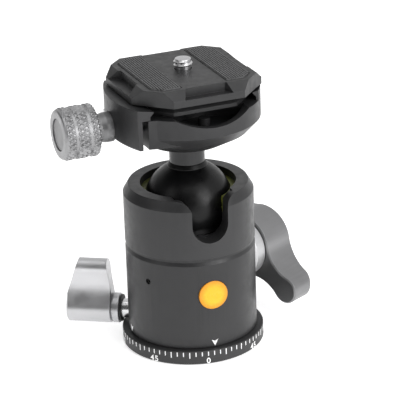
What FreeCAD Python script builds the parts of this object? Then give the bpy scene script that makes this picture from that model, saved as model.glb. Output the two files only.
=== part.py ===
import FreeCAD, Part
import math
import os

# A tripod ball head, in millimetres.
# Origin: bottom centre of the dial base. +Z runs up the pan axis, the drop notch faces -Y.
# The clamp's own frame has U across the jaws (clamp knob at -U) and V along the dovetail.

# Dial base and pan bearing
DIAL_RIM = 2.2
DIAL_HEIGHT = 4.74
DIAL_EDGE = 0.3
WASHER_THICKNESS = 0.3
WASHER_WALL = 4.0
BUSH_RADIUS = 8.0
BUSH_LENGTH = 12.0
TRIPOD_THREAD_RADIUS = 4.76
SPINDLE_RADIUS = 15.0
SPINDLE_TOP_COVER = 2.2
GROOVE_HALF_HEIGHT = 2.4
GROOVE_DEPTH = 2.4
BASE_SCREW_COUNT = 3
BASE_SCREW_RADIUS = 1.25
BASE_SCREW_HEAD_RADIUS = 2.0
BASE_SCREW_HEAD_HEIGHT = 1.4
BASE_SCREW_CIRCLE = 10.4

# Housing shells
BODY_RADIUS = 22.0
SEAM_Z = 37.06
SEAM_STEP = 0.5
SEAM_BAND = 1.1
SEAM_CHAMFER = 1.2
UPPER_HEIGHT = 20.09
TOP_CHAMFER_HEIGHT = 3.05
TOP_CHAMFER_WIDTH = 1.8
OPENING_ROOM = 1.16
LIP_HEIGHT = 2.6
SPINDLE_ROOM = 0.4

# Ball, seat and cup
BALL_RADIUS = 15.0
BALL_DEPTH = 7.75
BALL_ROOM = 0.6
SEAT_CLEARANCE = 0.05
SEAT_HEIGHT = 4.0
SEAT_WALL = 1.1
CUP_TOP_DEPTH = 7.4
CUP_HEIGHT = 11.0

# Drop notch
NOTCH_CLEARANCE = 0.3
NOTCH_DEPTH = 14.65
NOTCH_FLARE = 4.0

# Badge and stop screw
BADGE_RADIUS = 5.0
BADGE_Z = 23.9
BADGE_POCKET = 0.9
BADGE_DOME = 0.5
BADGE_CLEARANCE = 0.1
STOP_SCREW_RADIUS = 0.95
STOP_SCREW_Z = 27.8
STOP_SCREW_AZIMUTH = -150.0
STOP_SCREW_LENGTH = 4.0
STOP_SCREW_RECESS = 0.6

# Main lock knob
MAIN_AZIMUTH = 30.0
MAIN_Z = 23.7
MAIN_SCREW_RADIUS = 4.0
MAIN_COLLAR_RADIUS = 10.4
MAIN_COLLAR_TAPER = 0.5
MAIN_COLLAR_GAP = 0.6
MAIN_COLLAR_LENGTH = 4.9
MAIN_GROOVE = 0.3
MAIN_GROOVE_RADIUS = 9.6
MAIN_KNOB_LENGTH = 13.2
MAIN_HUB_RADIUS = 11.2
MAIN_LOBE_RADIUS = 4.8
MAIN_LOBE_DISTANCE = 22.2
MAIN_WAIST_RADIUS = 12.0
MAIN_LOBE_ANGLE = -144.9
MAIN_CROWN_RADIUS = 80.0
MAIN_KNOB_EDGE = 0.5
PLUNGER_RADIUS = 3.6
PLUNGER_LENGTH = 9.0
PLUNGER_DEPTH = 14.4
PLUNGER_TIP = 2.0

# Pan lock knob
PAN_AZIMUTH = 150.0
PAN_Z = 8.8
PAN_SHAFT_RADIUS = 3.3
PAN_SHAFT_GAP = 1.4
PAN_RING_GAP = 0.15
PAN_RING_LENGTH = 0.6
PAN_RING_RADIUS = 4.7
PAN_COLLAR_LENGTH = 2.3
PAN_COLLAR_RADIUS = 5.2
PAN_GROOVE = 0.5
PAN_GROOVE_RADIUS = 4.5
PAN_KNOB_LENGTH = 15.6
PAN_HUB_RADIUS = 5.3
PAN_LOBE_RADIUS = 3.2
PAN_LOBE_DISTANCE = 14.9
PAN_WAIST_RADIUS = 14.0
PAN_TAPER_START = 5.6
PAN_TAPER_OUTER = 4.3
PAN_TAPER_INNER = 1.4
PAN_KNOB_EDGE = 0.4
SHOE_RADIUS = 1.9
SHOE_GAP = 0.25

# Fits
RUNNING_CLEARANCE = 0.05
LOOSE_CLEARANCE = 0.1

# Stem
STEM_RADIUS = 5.95
STEM_HEIGHT = 22.6
STEM_RING_WALL = 0.85
STEM_FOOT_CLEARANCE = 0.3
STEM_RING_TAPER = 1.2
STEM_SPIGOT_RADIUS = 4.0
STEM_SPIGOT_HEIGHT = 6.0
BOLT_RADIUS = 2.5
BOLT_HEAD_RADIUS = 4.3
BOLT_HEAD_HEIGHT = 3.0

# Clamp body
HEAD_TURN = 2.7
CLAMP_HEIGHT = 14.9
CLAMP_RADIUS = 25.0
CLAMP_SIDE_HEIGHT = 6.6
CLAMP_CONE_MID_RADIUS = 21.0
CLAMP_CONE_MID_HEIGHT = 4.0
CLAMP_FOOT_RADIUS = 13.5
CLAMP_LEFT_U = -19.9
CLAMP_BLOCK_HALF_V = 17.6
CLAMP_BLOCK_CORNER = 5.0
CLAMP_BLOCK_FLARE = 3.4
CLAMP_BLOCK_HEIGHT = 9.7
POCKET_DEPTH = 4.7
POCKET_REACH = 22.8
POCKET_CENTRE_V = 27.5
POCKET_RADIUS = 18.5
RIM_DIP = 3.2
RIM_DIP_HALF_U = 13.0
RIM_DIP_U = 1.0
STOP_PIN_RADIUS = 2.0
STOP_PIN_HEIGHT = 2.3
STOP_PIN_V = 16.0
STOP_PIN_DEPTH = 2.0

# Dovetail
PLATE_CENTRE_V = -0.76
FLANGE_HALF_U = 19.0
FLANGE_HALF_V = 18.4
FLANGE_CORNER = 8.0
FLANGE_BAND = 1.2
FLANGE_FLANK = 1.7
FLANGE_SLOPE = 1.1
DOVETAIL_GAP = 0.1
JAW_TOP_GAP = 0.25
LIP_SHORT = 0.5
FIXED_JAW_HALF_V = 15.0
FIXED_JAW_WALL = 5.1

# Moving jaw and its screw
JAW_GAP = 2.0
JAW_WALL = 4.8
JAW_ARC_RADIUS = 40.0
JAW_ARC_V = 2.0
JAW_HALF_V = 17.6
JAW_HEIGHT = 9.7
JAW_EDGE = 0.5
CLAMP_SCREW_DEPTH = 6.45
CLAMP_SCREW_V = -0.8
CLAMP_SCREW_RADIUS = 2.5
CLAMP_SCREW_END_U = -7.5
GUIDE_PIN_RADIUS = 1.25
GUIDE_PIN_V = 11.0
GUIDE_PIN_BELOW = 5.3
GUIDE_PIN_DEPTH = 11.0
GUIDE_PIN_REACH = 2.9
CLAMP_COLLAR_SEAT = 0.5
CLAMP_COLLAR_RADIUS = 5.0
CLAMP_COLLAR_TAPER = 0.4
CLAMP_COLLAR_LENGTH = 5.1
CLAMP_NECK_RADIUS = 4.2
CLAMP_NECK_LENGTH = 0.9
CLAMP_KNOB_RADIUS = 8.8
CLAMP_KNOB_LENGTH = 12.3
CLAMP_KNOB_EDGE = 0.9
CLAMP_KNOB_GROOVE = 0.45
CLAMP_KNOB_GROOVE_WIDTH = 1.0
CLAMP_CAP_RADIUS = 5.2
CLAMP_CAP_RECESS = 0.4
CLAMP_CAP_THICKNESS = 1.2

# Plate
SLAB_OVERHANG_U = 3.88
SLAB_OVERHANG_V = 3.93
SLAB_BAND = 2.3
SLAB_BEVEL_HEIGHT = 2.9
SLAB_BEVEL_RUN = 2.53
SLAB_CORNER = 10.5
WINDOW_TOP_HALF = 6.8
WINDOW_FOOT_HALF = 8.4
WINDOW_INSET = 0.7
SIDE_POCKET_TOP_HALF = 7.6
SIDE_POCKET_FOOT_HALF = 9.6
SIDE_POCKET_INSET = 0.8
PAD_INNER_U = 7.7
PAD_SIDE_MARGIN = 2.2
PAD_END_MARGIN = 1.9
PAD_CORNER = 3.4
PAD_DEPTH = 0.8
PAD_PROUD = 0.5
PAD_CLEARANCE = 0.05
PAD_RIB_COUNT = 6
PAD_RIB_GROOVE = 0.25

# Camera screw
CAMERA_THREAD_RADIUS = 3.175
CAMERA_THREAD_LENGTH = 3.5
CAMERA_SCREW_U = 0.23
CAMERA_SCREW_V = -1.23
CAMERA_SCREW_TIP = 0.5
CAMERA_NECK_RADIUS = 2.6
CAMERA_HOLE_RADIUS = 2.9
CAMERA_HEAD_RADIUS = 6.0
CAMERA_HEAD_HEIGHT = 1.6
CAMERA_HEAD_RISE = 0.6
CAMERA_HEAD_ROOM = 0.4

# Heights and places worked out from the sizes above
DIAL_RADIUS = BODY_RADIUS + DIAL_RIM
HOUSING_BOTTOM_Z = DIAL_HEIGHT + WASHER_THICKNESS
SPINDLE_TOP_Z = BUSH_LENGTH + SPINDLE_TOP_COVER
TOP_Z = SEAM_Z + UPPER_HEIGHT
BALL_Z = TOP_Z - BALL_DEPTH
BALL_BORE_RADIUS = BALL_RADIUS + BALL_ROOM
OPENING_RADIUS = BALL_RADIUS + OPENING_ROOM
SEAT_GROOVE_RADIUS = OPENING_RADIUS + SEAT_WALL
LIP_Z = TOP_Z - LIP_HEIGHT
CUP_TOP_Z = BALL_Z - CUP_TOP_DEPTH
CUP_BOTTOM_Z = CUP_TOP_Z - CUP_HEIGHT
NOTCH_HALF_WIDTH = STEM_RADIUS + NOTCH_CLEARANCE
NOTCH_BOTTOM_Z = TOP_Z - NOTCH_DEPTH
NOTCH_CENTRE_Z = NOTCH_BOTTOM_Z + NOTCH_HALF_WIDTH
MAIN_COLLAR_START = BODY_RADIUS + MAIN_COLLAR_GAP
MAIN_KNOB_START = MAIN_COLLAR_START + MAIN_COLLAR_LENGTH + MAIN_GROOVE
PLUNGER_START = BODY_RADIUS - PLUNGER_DEPTH
PAN_SHAFT_START = SPINDLE_RADIUS + PAN_SHAFT_GAP
PAN_RING_START = DIAL_RADIUS + PAN_RING_GAP
PAN_COLLAR_START = PAN_RING_START + PAN_RING_LENGTH
PAN_KNOB_START = PAN_COLLAR_START + PAN_COLLAR_LENGTH + PAN_GROOVE
STEM_RING_RADIUS = STEM_RADIUS + STEM_RING_WALL
STEM_RING_TOP_Z = BALL_Z + BALL_RADIUS
STEM_TOP_Z = BALL_Z + STEM_HEIGHT
CLAMP_FLOOR_Z = STEM_TOP_Z + CLAMP_HEIGHT
CLAMP_SIDE_Z = CLAMP_FLOOR_Z - CLAMP_SIDE_HEIGHT
CLAMP_CONE_MID_Z = STEM_TOP_Z + CLAMP_CONE_MID_HEIGHT
CLAMP_BLOCK_Z = CLAMP_FLOOR_Z - CLAMP_BLOCK_HEIGHT
POCKET_FLOOR_Z = CLAMP_FLOOR_Z - POCKET_DEPTH
FLANGE_BOTTOM_Z = CLAMP_FLOOR_Z + DOVETAIL_GAP
FLANGE_BAND_Z = FLANGE_BOTTOM_Z + FLANGE_BAND
NECK_Z = FLANGE_BAND_Z + FLANGE_FLANK
SLAB_BOTTOM_Z = NECK_Z + FLANGE_SLOPE
SLAB_SHOULDER_Z = SLAB_BOTTOM_Z + SLAB_BAND
SLAB_TOP_Z = SLAB_SHOULDER_Z + SLAB_BEVEL_HEIGHT
SLAB_HALF_U = FLANGE_HALF_U + SLAB_OVERHANG_U
SLAB_HALF_V = FLANGE_HALF_V + SLAB_OVERHANG_V
SLAB_TOP_HALF = SLAB_HALF_V - SLAB_BEVEL_RUN
PAD_OUTER_U = SLAB_TOP_HALF - PAD_SIDE_MARGIN
PAD_HALF_V = SLAB_TOP_HALF - PAD_END_MARGIN
JAW_WALL_U = FLANGE_HALF_U + DOVETAIL_GAP
JAW_FACE_U = CLAMP_LEFT_U - JAW_GAP
JAW_OUTER_REACH = JAW_WALL - JAW_FACE_U
JAW_BOTTOM_Z = CLAMP_FLOOR_Z - JAW_HEIGHT
CLAMP_SCREW_Z = CLAMP_FLOOR_Z - CLAMP_SCREW_DEPTH
GUIDE_PIN_Z = CLAMP_FLOOR_Z - GUIDE_PIN_BELOW
CLAMP_COLLAR_START = JAW_OUTER_REACH - CLAMP_COLLAR_SEAT
CLAMP_KNOB_START = CLAMP_COLLAR_START + CLAMP_COLLAR_LENGTH + CLAMP_NECK_LENGTH
CAMERA_HEAD_Z = FLANGE_BOTTOM_Z + CAMERA_HEAD_RISE
CAMERA_SCREW_TOP_Z = SLAB_TOP_Z + CAMERA_THREAD_LENGTH


def point(x, y, z):
    """A point or direction."""
    return FreeCAD.Vector(x, y, z)


def turned(profile):
    """A solid of revolution about Z from (radius, height) points."""
    points = [point(radius, 0, height) for radius, height in profile]
    face = Part.Face(Part.makePolygon(points + points[:1]))
    return face.revolve(point(0, 0, 0), point(0, 0, 1), 360)


def disc(radius, low, high):
    """A plain cylinder about Z between two heights."""
    return Part.makeCylinder(radius, high - low, point(0, 0, low))


def sphere(radius, height):
    """A ball centred on Z."""
    return Part.makeSphere(radius, point(0, 0, height))


def prism(outline, low, high):
    """An upright prism on (x, y) points."""
    points = [point(x, y, low) for x, y in outline]
    face = Part.Face(Part.makePolygon(points + points[:1]))
    return face.extrude(point(0, 0, high - low))


def side_prism(outline, start, end):
    """A prism along Y on (x, z) points."""
    points = [point(x, start, z) for x, z in outline]
    face = Part.Face(Part.makePolygon(points + points[:1]))
    return face.extrude(point(0, end - start, 0))


def box(low, high):
    """A box between two corners."""
    return Part.makeBox(high[0] - low[0], high[1] - low[1], high[2] - low[2], point(*low))


def mirrored(shape, normal):
    """The shape's mirror image in a plane through the Z axis."""
    return shape.mirror(point(0, 0, 0), point(*normal))


def chamfered_rectangle(half_x, half_y, corner):
    """An eight-sided outline: a rectangle with its corners cut at 45 degrees."""
    short_x = half_x - corner
    short_y = half_y - corner
    outline = [(half_x, -short_y), (half_x, short_y), (short_x, half_y), (-short_x, half_y)]
    outline += [(-half_x, short_y), (-half_x, -short_y), (-short_x, -half_y)]
    return outline + [(short_x, -half_y)]


def radial(shape, azimuth, height):
    """Lays a solid built along +Z out from the pan axis, with its own +X still level."""
    placed = shape.copy()
    placed.rotate(point(0, 0, 0), point(0, 1, 0), 90)
    placed.rotate(point(0, 0, 0), point(0, 0, 1), azimuth)
    placed.translate(point(0, 0, height))
    return placed


def radial_rod(radius, start, end, azimuth, height):
    """A round rod that points out from the pan axis."""
    return radial(disc(radius, start, end), azimuth, height)


def in_head(shape):
    """Turns a clamp piece from its own frame to its place on the stem."""
    placed = shape.copy()
    placed.rotate(point(0, 0, 0), point(0, 0, 1), HEAD_TURN)
    return placed


def along_u(shape, v, height):
    """Lays a solid built along +Z so that it points to -U at the given V and height."""
    placed = shape.copy()
    placed.rotate(point(0, 0, 0), point(0, 1, 0), -90)
    placed.translate(point(0, -v, height))
    return placed


def arc(centre, radius, start, end):
    """An arc in the XY plane between two angles in degrees."""
    middle = (start + end) / 2
    places = []
    for angle in (start, middle, end):
        turn = math.radians(angle)
        x = centre[0] + radius * math.cos(turn)
        y = centre[1] + radius * math.sin(turn)
        places.append(point(x, y, 0))
    return Part.Arc(*places).toShape()


def flank_angles(hub, lobe, distance, waist):
    """Angles where a waist arc leaves the hub and meets the lobe, for a lobe along +X."""
    hub_side = hub + waist
    lobe_side = lobe + waist
    along = (hub_side ** 2 - lobe_side ** 2 + distance ** 2) / (2 * distance)
    across = math.sqrt(hub_side ** 2 - along ** 2)
    hub_angle = math.degrees(math.atan2(across, along))
    lobe_angle = math.degrees(math.atan2(across, along - distance))
    return hub_angle, lobe_angle, (along, across)


def lobed_outline(hub, lobe, distance, waist, both):
    """A hub circle with one or two round lobes, joined by hollow flanks."""
    hub_angle, lobe_angle, centre = flank_angles(hub, lobe, distance, waist)
    far = (-centre[0], centre[1])
    edges = [arc((distance, 0), lobe, -lobe_angle, lobe_angle)]
    edges.append(arc(centre, waist, lobe_angle - 180, hub_angle - 180))
    if both:
        edges.append(arc((0, 0), hub, hub_angle, 180 - hub_angle))
        edges.append(arc(far, waist, -hub_angle, -lobe_angle))
        edges.append(arc((-distance, 0), lobe, 180 - lobe_angle, 180 + lobe_angle))
        edges.append(arc((far[0], -far[1]), waist, lobe_angle, hub_angle))
        edges.append(arc((0, 0), hub, 180 + hub_angle, 360 - hub_angle))
    else:
        edges.append(arc((0, 0), hub, hub_angle, 360 - hub_angle))
    edges.append(arc((centre[0], -centre[1]), waist, 180 - hub_angle, 180 - lobe_angle))
    return Part.Face(Part.Wire(Part.__sortEdges__(edges)))


def end_edges(shape, low, high, tolerance=0.01):
    """The edges that lie flat at either end of a solid built along Z."""
    found = []
    for edge in shape.Edges:
        limits = edge.BoundBox
        flat = limits.ZMax - limits.ZMin < tolerance
        at_end = abs(limits.ZMin - low) < tolerance or abs(limits.ZMin - high) < tolerance
        if flat and at_end:
            found.append(edge)
    return found


def make_dial_base():
    """The disc that carries the degree scale, with a countersunk screw circle below."""
    profile = [(BUSH_RADIUS + RUNNING_CLEARANCE, 0), (DIAL_RADIUS - DIAL_EDGE, 0)]
    profile += [(DIAL_RADIUS, DIAL_EDGE), (DIAL_RADIUS, DIAL_HEIGHT - DIAL_EDGE)]
    profile += [(DIAL_RADIUS - DIAL_EDGE, DIAL_HEIGHT)]
    profile += [(BUSH_RADIUS + RUNNING_CLEARANCE, DIAL_HEIGHT)]
    base = turned(profile)
    return base.cut(base_screw_set(RUNNING_CLEARANCE))


def base_screw_set(growth):
    """The screws under the base, or with growth the holes that they sit in."""
    pieces = []
    for index in range(BASE_SCREW_COUNT):
        head = disc(BASE_SCREW_HEAD_RADIUS + growth, 0.2 - 4 * growth, BASE_SCREW_HEAD_HEIGHT)
        shank = disc(BASE_SCREW_RADIUS + growth, 0.2, DIAL_HEIGHT + BASE_SCREW_HEAD_HEIGHT)
        screw = head.fuse(shank)
        screw.translate(point(BASE_SCREW_CIRCLE, 0, 0))
        screw.rotate(point(0, 0, 0), point(0, 0, 1), 360 / BASE_SCREW_COUNT * index + 90)
        pieces.append(screw)
    return Part.makeCompound(pieces)


def make_tripod_bush():
    """The threaded bush for the tripod's stud."""
    bush = disc(BUSH_RADIUS, 0, BUSH_LENGTH)
    return bush.cut(disc(TRIPOD_THREAD_RADIUS, -1, BUSH_LENGTH + 1))


def make_pan_spindle():
    """The post that the housing turns on, with the groove that the lock shoe grips."""
    bore = BUSH_RADIUS + RUNNING_CLEARANCE
    waist = SPINDLE_RADIUS - GROOVE_DEPTH
    profile = [(bore, DIAL_HEIGHT), (SPINDLE_RADIUS, DIAL_HEIGHT)]
    profile += [(SPINDLE_RADIUS, PAN_Z - GROOVE_HALF_HEIGHT)]
    profile += [(waist, PAN_Z - GROOVE_HALF_HEIGHT + 1), (waist, PAN_Z + GROOVE_HALF_HEIGHT - 1)]
    profile += [(SPINDLE_RADIUS, PAN_Z + GROOVE_HALF_HEIGHT), (SPINDLE_RADIUS, SPINDLE_TOP_Z)]
    profile += [(0, SPINDLE_TOP_Z), (0, BUSH_LENGTH + LOOSE_CLEARANCE)]
    profile += [(bore, BUSH_LENGTH + LOOSE_CLEARANCE)]
    return turned(profile).cut(base_screw_set(RUNNING_CLEARANCE))


def make_pan_washer():
    """The slip washer between the dial base and the housing."""
    inner = BODY_RADIUS - 0.3 - WASHER_WALL
    profile = [(inner, DIAL_HEIGHT), (BODY_RADIUS - 0.3, DIAL_HEIGHT)]
    profile += [(BODY_RADIUS - 0.3, HOUSING_BOTTOM_Z), (inner, HOUSING_BOTTOM_Z)]
    return turned(profile)


def notch_cut(extra):
    """The drop notch's solid, wider by extra all round, from the pan axis out to -Y."""
    half = NOTCH_HALF_WIDTH + extra
    top = TOP_Z + 2
    bottom = half
    flare = NOTCH_FLARE - extra
    start_z = TOP_Z - NOTCH_FLARE
    left = Part.makeLine(point(-half, 0, start_z), point(-half, 0, NOTCH_CENTRE_Z))
    foot = Part.Arc(
        point(-half, 0, NOTCH_CENTRE_Z),
        point(0, 0, NOTCH_CENTRE_Z - bottom),
        point(half, 0, NOTCH_CENTRE_Z),
    ).toShape()
    right = Part.makeLine(point(half, 0, NOTCH_CENTRE_Z), point(half, 0, start_z))
    edges = [left, foot, right]
    lean = math.sqrt(0.5)
    for side in (1, -1):
        centre_x = side * (half + flare)
        start = point(side * half, 0, start_z)
        middle = point(centre_x - side * flare * lean, 0, start_z + flare * lean)
        end = point(centre_x, 0, start_z + flare)
        edges.append(Part.Arc(start, middle, end).toShape())
        edges.append(Part.makeLine(end, point(centre_x, 0, top)))
    edges.append(Part.makeLine(point(half + flare, 0, top), point(-half - flare, 0, top)))
    face = Part.Face(Part.Wire(Part.__sortEdges__(edges)))
    return face.extrude(point(0, -BODY_RADIUS - 5, 0))


def stem_foot_room():
    """The wider inner end of the notch, where the stem's flared foot goes by."""
    extra = STEM_RING_RADIUS + STEM_FOOT_CLEARANCE - NOTCH_HALF_WIDTH
    reach = STEM_RING_TOP_Z - BALL_Z + STEM_FOOT_CLEARANCE
    room = box((-BODY_RADIUS, -reach, 0), (BODY_RADIUS, 0, TOP_Z + 5))
    return notch_cut(extra).common(room)


def make_lower_housing():
    """The lower shell, with the pan bearing, the knob bores and the cup's well."""
    outer = BODY_RADIUS
    step = BODY_RADIUS - SEAM_STEP
    room = SPINDLE_RADIUS + SPINDLE_ROOM
    ceiling = SPINDLE_TOP_Z + SPINDLE_ROOM
    profile = [(room, HOUSING_BOTTOM_Z), (outer, HOUSING_BOTTOM_Z)]
    profile += [(outer, SEAM_Z - SEAM_BAND - SEAM_CHAMFER), (step, SEAM_Z - SEAM_BAND)]
    profile += [(step, SEAM_Z), (BALL_BORE_RADIUS, SEAM_Z)]
    profile += [(BALL_BORE_RADIUS, CUP_BOTTOM_Z), (0, CUP_BOTTOM_Z), (0, ceiling), (room, ceiling)]
    shell = turned(profile)
    reach = BODY_RADIUS + 2
    main_bore = MAIN_SCREW_RADIUS + RUNNING_CLEARANCE
    shell = shell.cut(radial_rod(main_bore, PLUNGER_START - 1, reach, MAIN_AZIMUTH, MAIN_Z))
    pan_bore = PAN_SHAFT_RADIUS + RUNNING_CLEARANCE
    shell = shell.cut(radial_rod(pan_bore, SPINDLE_RADIUS, reach, PAN_AZIMUTH, PAN_Z))
    badge_room = BADGE_RADIUS + BADGE_CLEARANCE
    shell = shell.cut(radial_rod(badge_room, BODY_RADIUS - BADGE_POCKET, reach, -90, BADGE_Z))
    start = BODY_RADIUS - STOP_SCREW_RECESS - STOP_SCREW_LENGTH
    screw_room = STOP_SCREW_RADIUS + RUNNING_CLEARANCE
    return shell.cut(radial_rod(screw_room, start, reach, STOP_SCREW_AZIMUTH, STOP_SCREW_Z))


def make_upper_housing():
    """The upper shell, with the ball's socket, the seat ring's groove and the drop notch."""
    groove = SEAT_GROOVE_RADIUS
    profile = [(BALL_BORE_RADIUS, SEAM_Z), (BODY_RADIUS, SEAM_Z)]
    profile += [(BODY_RADIUS, TOP_Z - TOP_CHAMFER_HEIGHT)]
    profile += [(BODY_RADIUS - TOP_CHAMFER_WIDTH, TOP_Z)]
    profile += [(OPENING_RADIUS, TOP_Z), (OPENING_RADIUS, LIP_Z), (groove, LIP_Z)]
    profile += [(groove, LIP_Z - SEAT_HEIGHT - LOOSE_CLEARANCE)]
    profile += [(BALL_BORE_RADIUS, LIP_Z - SEAT_HEIGHT - LOOSE_CLEARANCE)]
    return turned(profile).cut(notch_cut(0)).cut(stem_foot_room())


def make_seat_ring():
    """The seat ring that the ball is pressed against, open at the notch."""
    outer = SEAT_GROOVE_RADIUS - RUNNING_CLEARANCE
    ring = disc(outer, LIP_Z - SEAT_HEIGHT, LIP_Z)
    ring = ring.cut(sphere(BALL_RADIUS + SEAT_CLEARANCE, BALL_Z))
    return ring.cut(notch_cut(LOOSE_CLEARANCE)).cut(stem_foot_room())


def make_ball_cup():
    """The cup that lifts the ball against the seat ring."""
    radius = BALL_BORE_RADIUS - RUNNING_CLEARANCE
    cup = disc(radius, CUP_BOTTOM_Z, CUP_TOP_Z)
    return cup.cut(sphere(BALL_RADIUS + SEAT_CLEARANCE, BALL_Z))


def make_badge():
    """The domed disc on the front, left bare."""
    bottom = BODY_RADIUS - BADGE_POCKET
    rim = BODY_RADIUS
    height = BADGE_DOME
    dome_radius = (BADGE_RADIUS ** 2 + height ** 2) / (2 * height)
    body = disc(BADGE_RADIUS, bottom, rim + height + 1)
    dome = Part.makeSphere(dome_radius, point(0, 0, rim + height - dome_radius))
    return radial(body.common(dome), -90, BADGE_Z)


def make_stop_screw():
    """The grub screw in the side, with a round socket in its end."""
    end = BODY_RADIUS - STOP_SCREW_RECESS
    screw = disc(STOP_SCREW_RADIUS, end - STOP_SCREW_LENGTH, end)
    screw = screw.cut(disc(STOP_SCREW_RADIUS / 2, end - 1, end + 1))
    return radial(screw, STOP_SCREW_AZIMUTH, STOP_SCREW_Z)


def make_main_screw():
    """The shaft that carries the main knob into the housing."""
    start = PLUNGER_START + PLUNGER_LENGTH + LOOSE_CLEARANCE
    end = MAIN_KNOB_START + MAIN_KNOB_LENGTH / 2
    return radial_rod(MAIN_SCREW_RADIUS, start, end, MAIN_AZIMUTH, MAIN_Z)


def make_main_collar():
    """The turned collar between the housing and the main knob."""
    start = MAIN_COLLAR_START
    end = start + MAIN_COLLAR_LENGTH
    bore = MAIN_SCREW_RADIUS + RUNNING_CLEARANCE
    profile = [(bore, start), (MAIN_COLLAR_RADIUS - MAIN_COLLAR_TAPER, start)]
    profile += [(MAIN_COLLAR_RADIUS, start + 2 * MAIN_COLLAR_TAPER), (MAIN_COLLAR_RADIUS, end)]
    profile += [(MAIN_GROOVE_RADIUS, end), (MAIN_GROOVE_RADIUS, end + MAIN_GROOVE)]
    profile += [(bore, end + MAIN_GROOVE)]
    return radial(turned(profile), MAIN_AZIMUTH, MAIN_Z)


def make_main_knob():
    """The two-lobed main lock knob with a crowned outer face."""
    face = lobed_outline(
        MAIN_HUB_RADIUS, MAIN_LOBE_RADIUS, MAIN_LOBE_DISTANCE, MAIN_WAIST_RADIUS, True
    )
    start = MAIN_KNOB_START
    end = start + MAIN_KNOB_LENGTH
    face.translate(point(0, 0, start))
    knob = face.extrude(point(0, 0, MAIN_KNOB_LENGTH))
    crown = Part.makeSphere(MAIN_CROWN_RADIUS, point(0, 0, end - MAIN_CROWN_RADIUS))
    knob = knob.common(crown)
    lower = end_edges(knob, start, start)
    knob = knob.makeChamfer(MAIN_KNOB_EDGE, lower)
    bore = MAIN_SCREW_RADIUS + RUNNING_CLEARANCE
    knob = knob.cut(disc(bore, start - 1, start + MAIN_KNOB_LENGTH / 2 + LOOSE_CLEARANCE))
    knob.rotate(point(0, 0, 0), point(0, 0, 1), MAIN_LOBE_ANGLE + 90)
    return radial(knob, MAIN_AZIMUTH, MAIN_Z)


def make_lock_plunger():
    """The plunger that the main screw drives inwards, with a sloped nose."""
    start = PLUNGER_START
    end = start + PLUNGER_LENGTH
    profile = [(0, start), (PLUNGER_RADIUS - PLUNGER_TIP, start)]
    profile += [(PLUNGER_RADIUS, start + PLUNGER_TIP), (PLUNGER_RADIUS, end), (0, end)]
    return radial(turned(profile), MAIN_AZIMUTH, MAIN_Z)


def make_pan_shaft():
    """The steel shaft of the pan lock."""
    end = PAN_KNOB_START + PAN_KNOB_LENGTH / 2
    return radial_rod(PAN_SHAFT_RADIUS, PAN_SHAFT_START, end, PAN_AZIMUTH, PAN_Z)


def make_pan_shoe():
    """The small shoe that the pan shaft presses into the spindle's groove."""
    groove_floor = SPINDLE_RADIUS - GROOVE_DEPTH
    start = groove_floor + SHOE_GAP
    end = PAN_SHAFT_START - LOOSE_CLEARANCE
    profile = [(0, start), (SHOE_RADIUS - 0.9, start), (SHOE_RADIUS, start + 1.2)]
    profile += [(SHOE_RADIUS, end), (0, end)]
    return radial(turned(profile), PAN_AZIMUTH, PAN_Z)


def make_pan_ring():
    """The dark washer at the collar's inner end."""
    end = PAN_RING_START + PAN_RING_LENGTH
    ring = disc(PAN_RING_RADIUS, PAN_RING_START, end)
    ring = ring.cut(disc(PAN_SHAFT_RADIUS + RUNNING_CLEARANCE, PAN_RING_START - 1, end + 1))
    return radial(ring, PAN_AZIMUTH, PAN_Z)


def make_pan_collar():
    """The bright collar beside the pan knob, with a dark groove at its outer end."""
    start = PAN_COLLAR_START
    end = start + PAN_COLLAR_LENGTH
    bore = PAN_SHAFT_RADIUS + RUNNING_CLEARANCE
    profile = [(bore, start), (PAN_COLLAR_RADIUS - 0.3, start)]
    profile += [(PAN_COLLAR_RADIUS, start + 0.3), (PAN_COLLAR_RADIUS, end)]
    profile += [(PAN_GROOVE_RADIUS, end), (PAN_GROOVE_RADIUS, end + PAN_GROOVE)]
    profile += [(bore, end + PAN_GROOVE)]
    return radial(turned(profile), PAN_AZIMUTH, PAN_Z)


def make_pan_knob():
    """The pan lock knob: a round hub with one tapered lobe."""
    face = lobed_outline(
        PAN_HUB_RADIUS, PAN_LOBE_RADIUS, PAN_LOBE_DISTANCE, PAN_WAIST_RADIUS, False
    )
    start = PAN_KNOB_START
    end = start + PAN_KNOB_LENGTH
    tip = PAN_LOBE_DISTANCE + PAN_LOBE_RADIUS
    face.translate(point(0, 0, start))
    knob = face.extrude(point(0, 0, PAN_KNOB_LENGTH))
    knob = knob.makeChamfer(PAN_KNOB_EDGE, end_edges(knob, start, end))
    wide = PAN_HUB_RADIUS + 2
    outer = [(PAN_TAPER_START, end + 1), (PAN_TAPER_START, end)]
    outer += [(tip, end - PAN_TAPER_OUTER), (tip + 2, end - PAN_TAPER_OUTER), (tip + 2, end + 1)]
    inner = [(PAN_TAPER_START, start - 1), (PAN_TAPER_START, start)]
    inner += [(tip, start + PAN_TAPER_INNER), (tip + 2, start + PAN_TAPER_INNER)]
    inner += [(tip + 2, start - 1)]
    knob = knob.cut(side_prism(outer, -wide, wide))
    knob = knob.cut(side_prism(inner, -wide, wide))
    bore = PAN_SHAFT_RADIUS + RUNNING_CLEARANCE
    knob = knob.cut(disc(bore, start - 1, start + PAN_KNOB_LENGTH / 2 + LOOSE_CLEARANCE))
    knob.rotate(point(0, 0, 0), point(0, 0, 1), 180)
    return radial(knob, PAN_AZIMUTH, PAN_Z)


def make_ball():
    """The ball."""
    return sphere(BALL_RADIUS, BALL_Z)


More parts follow.
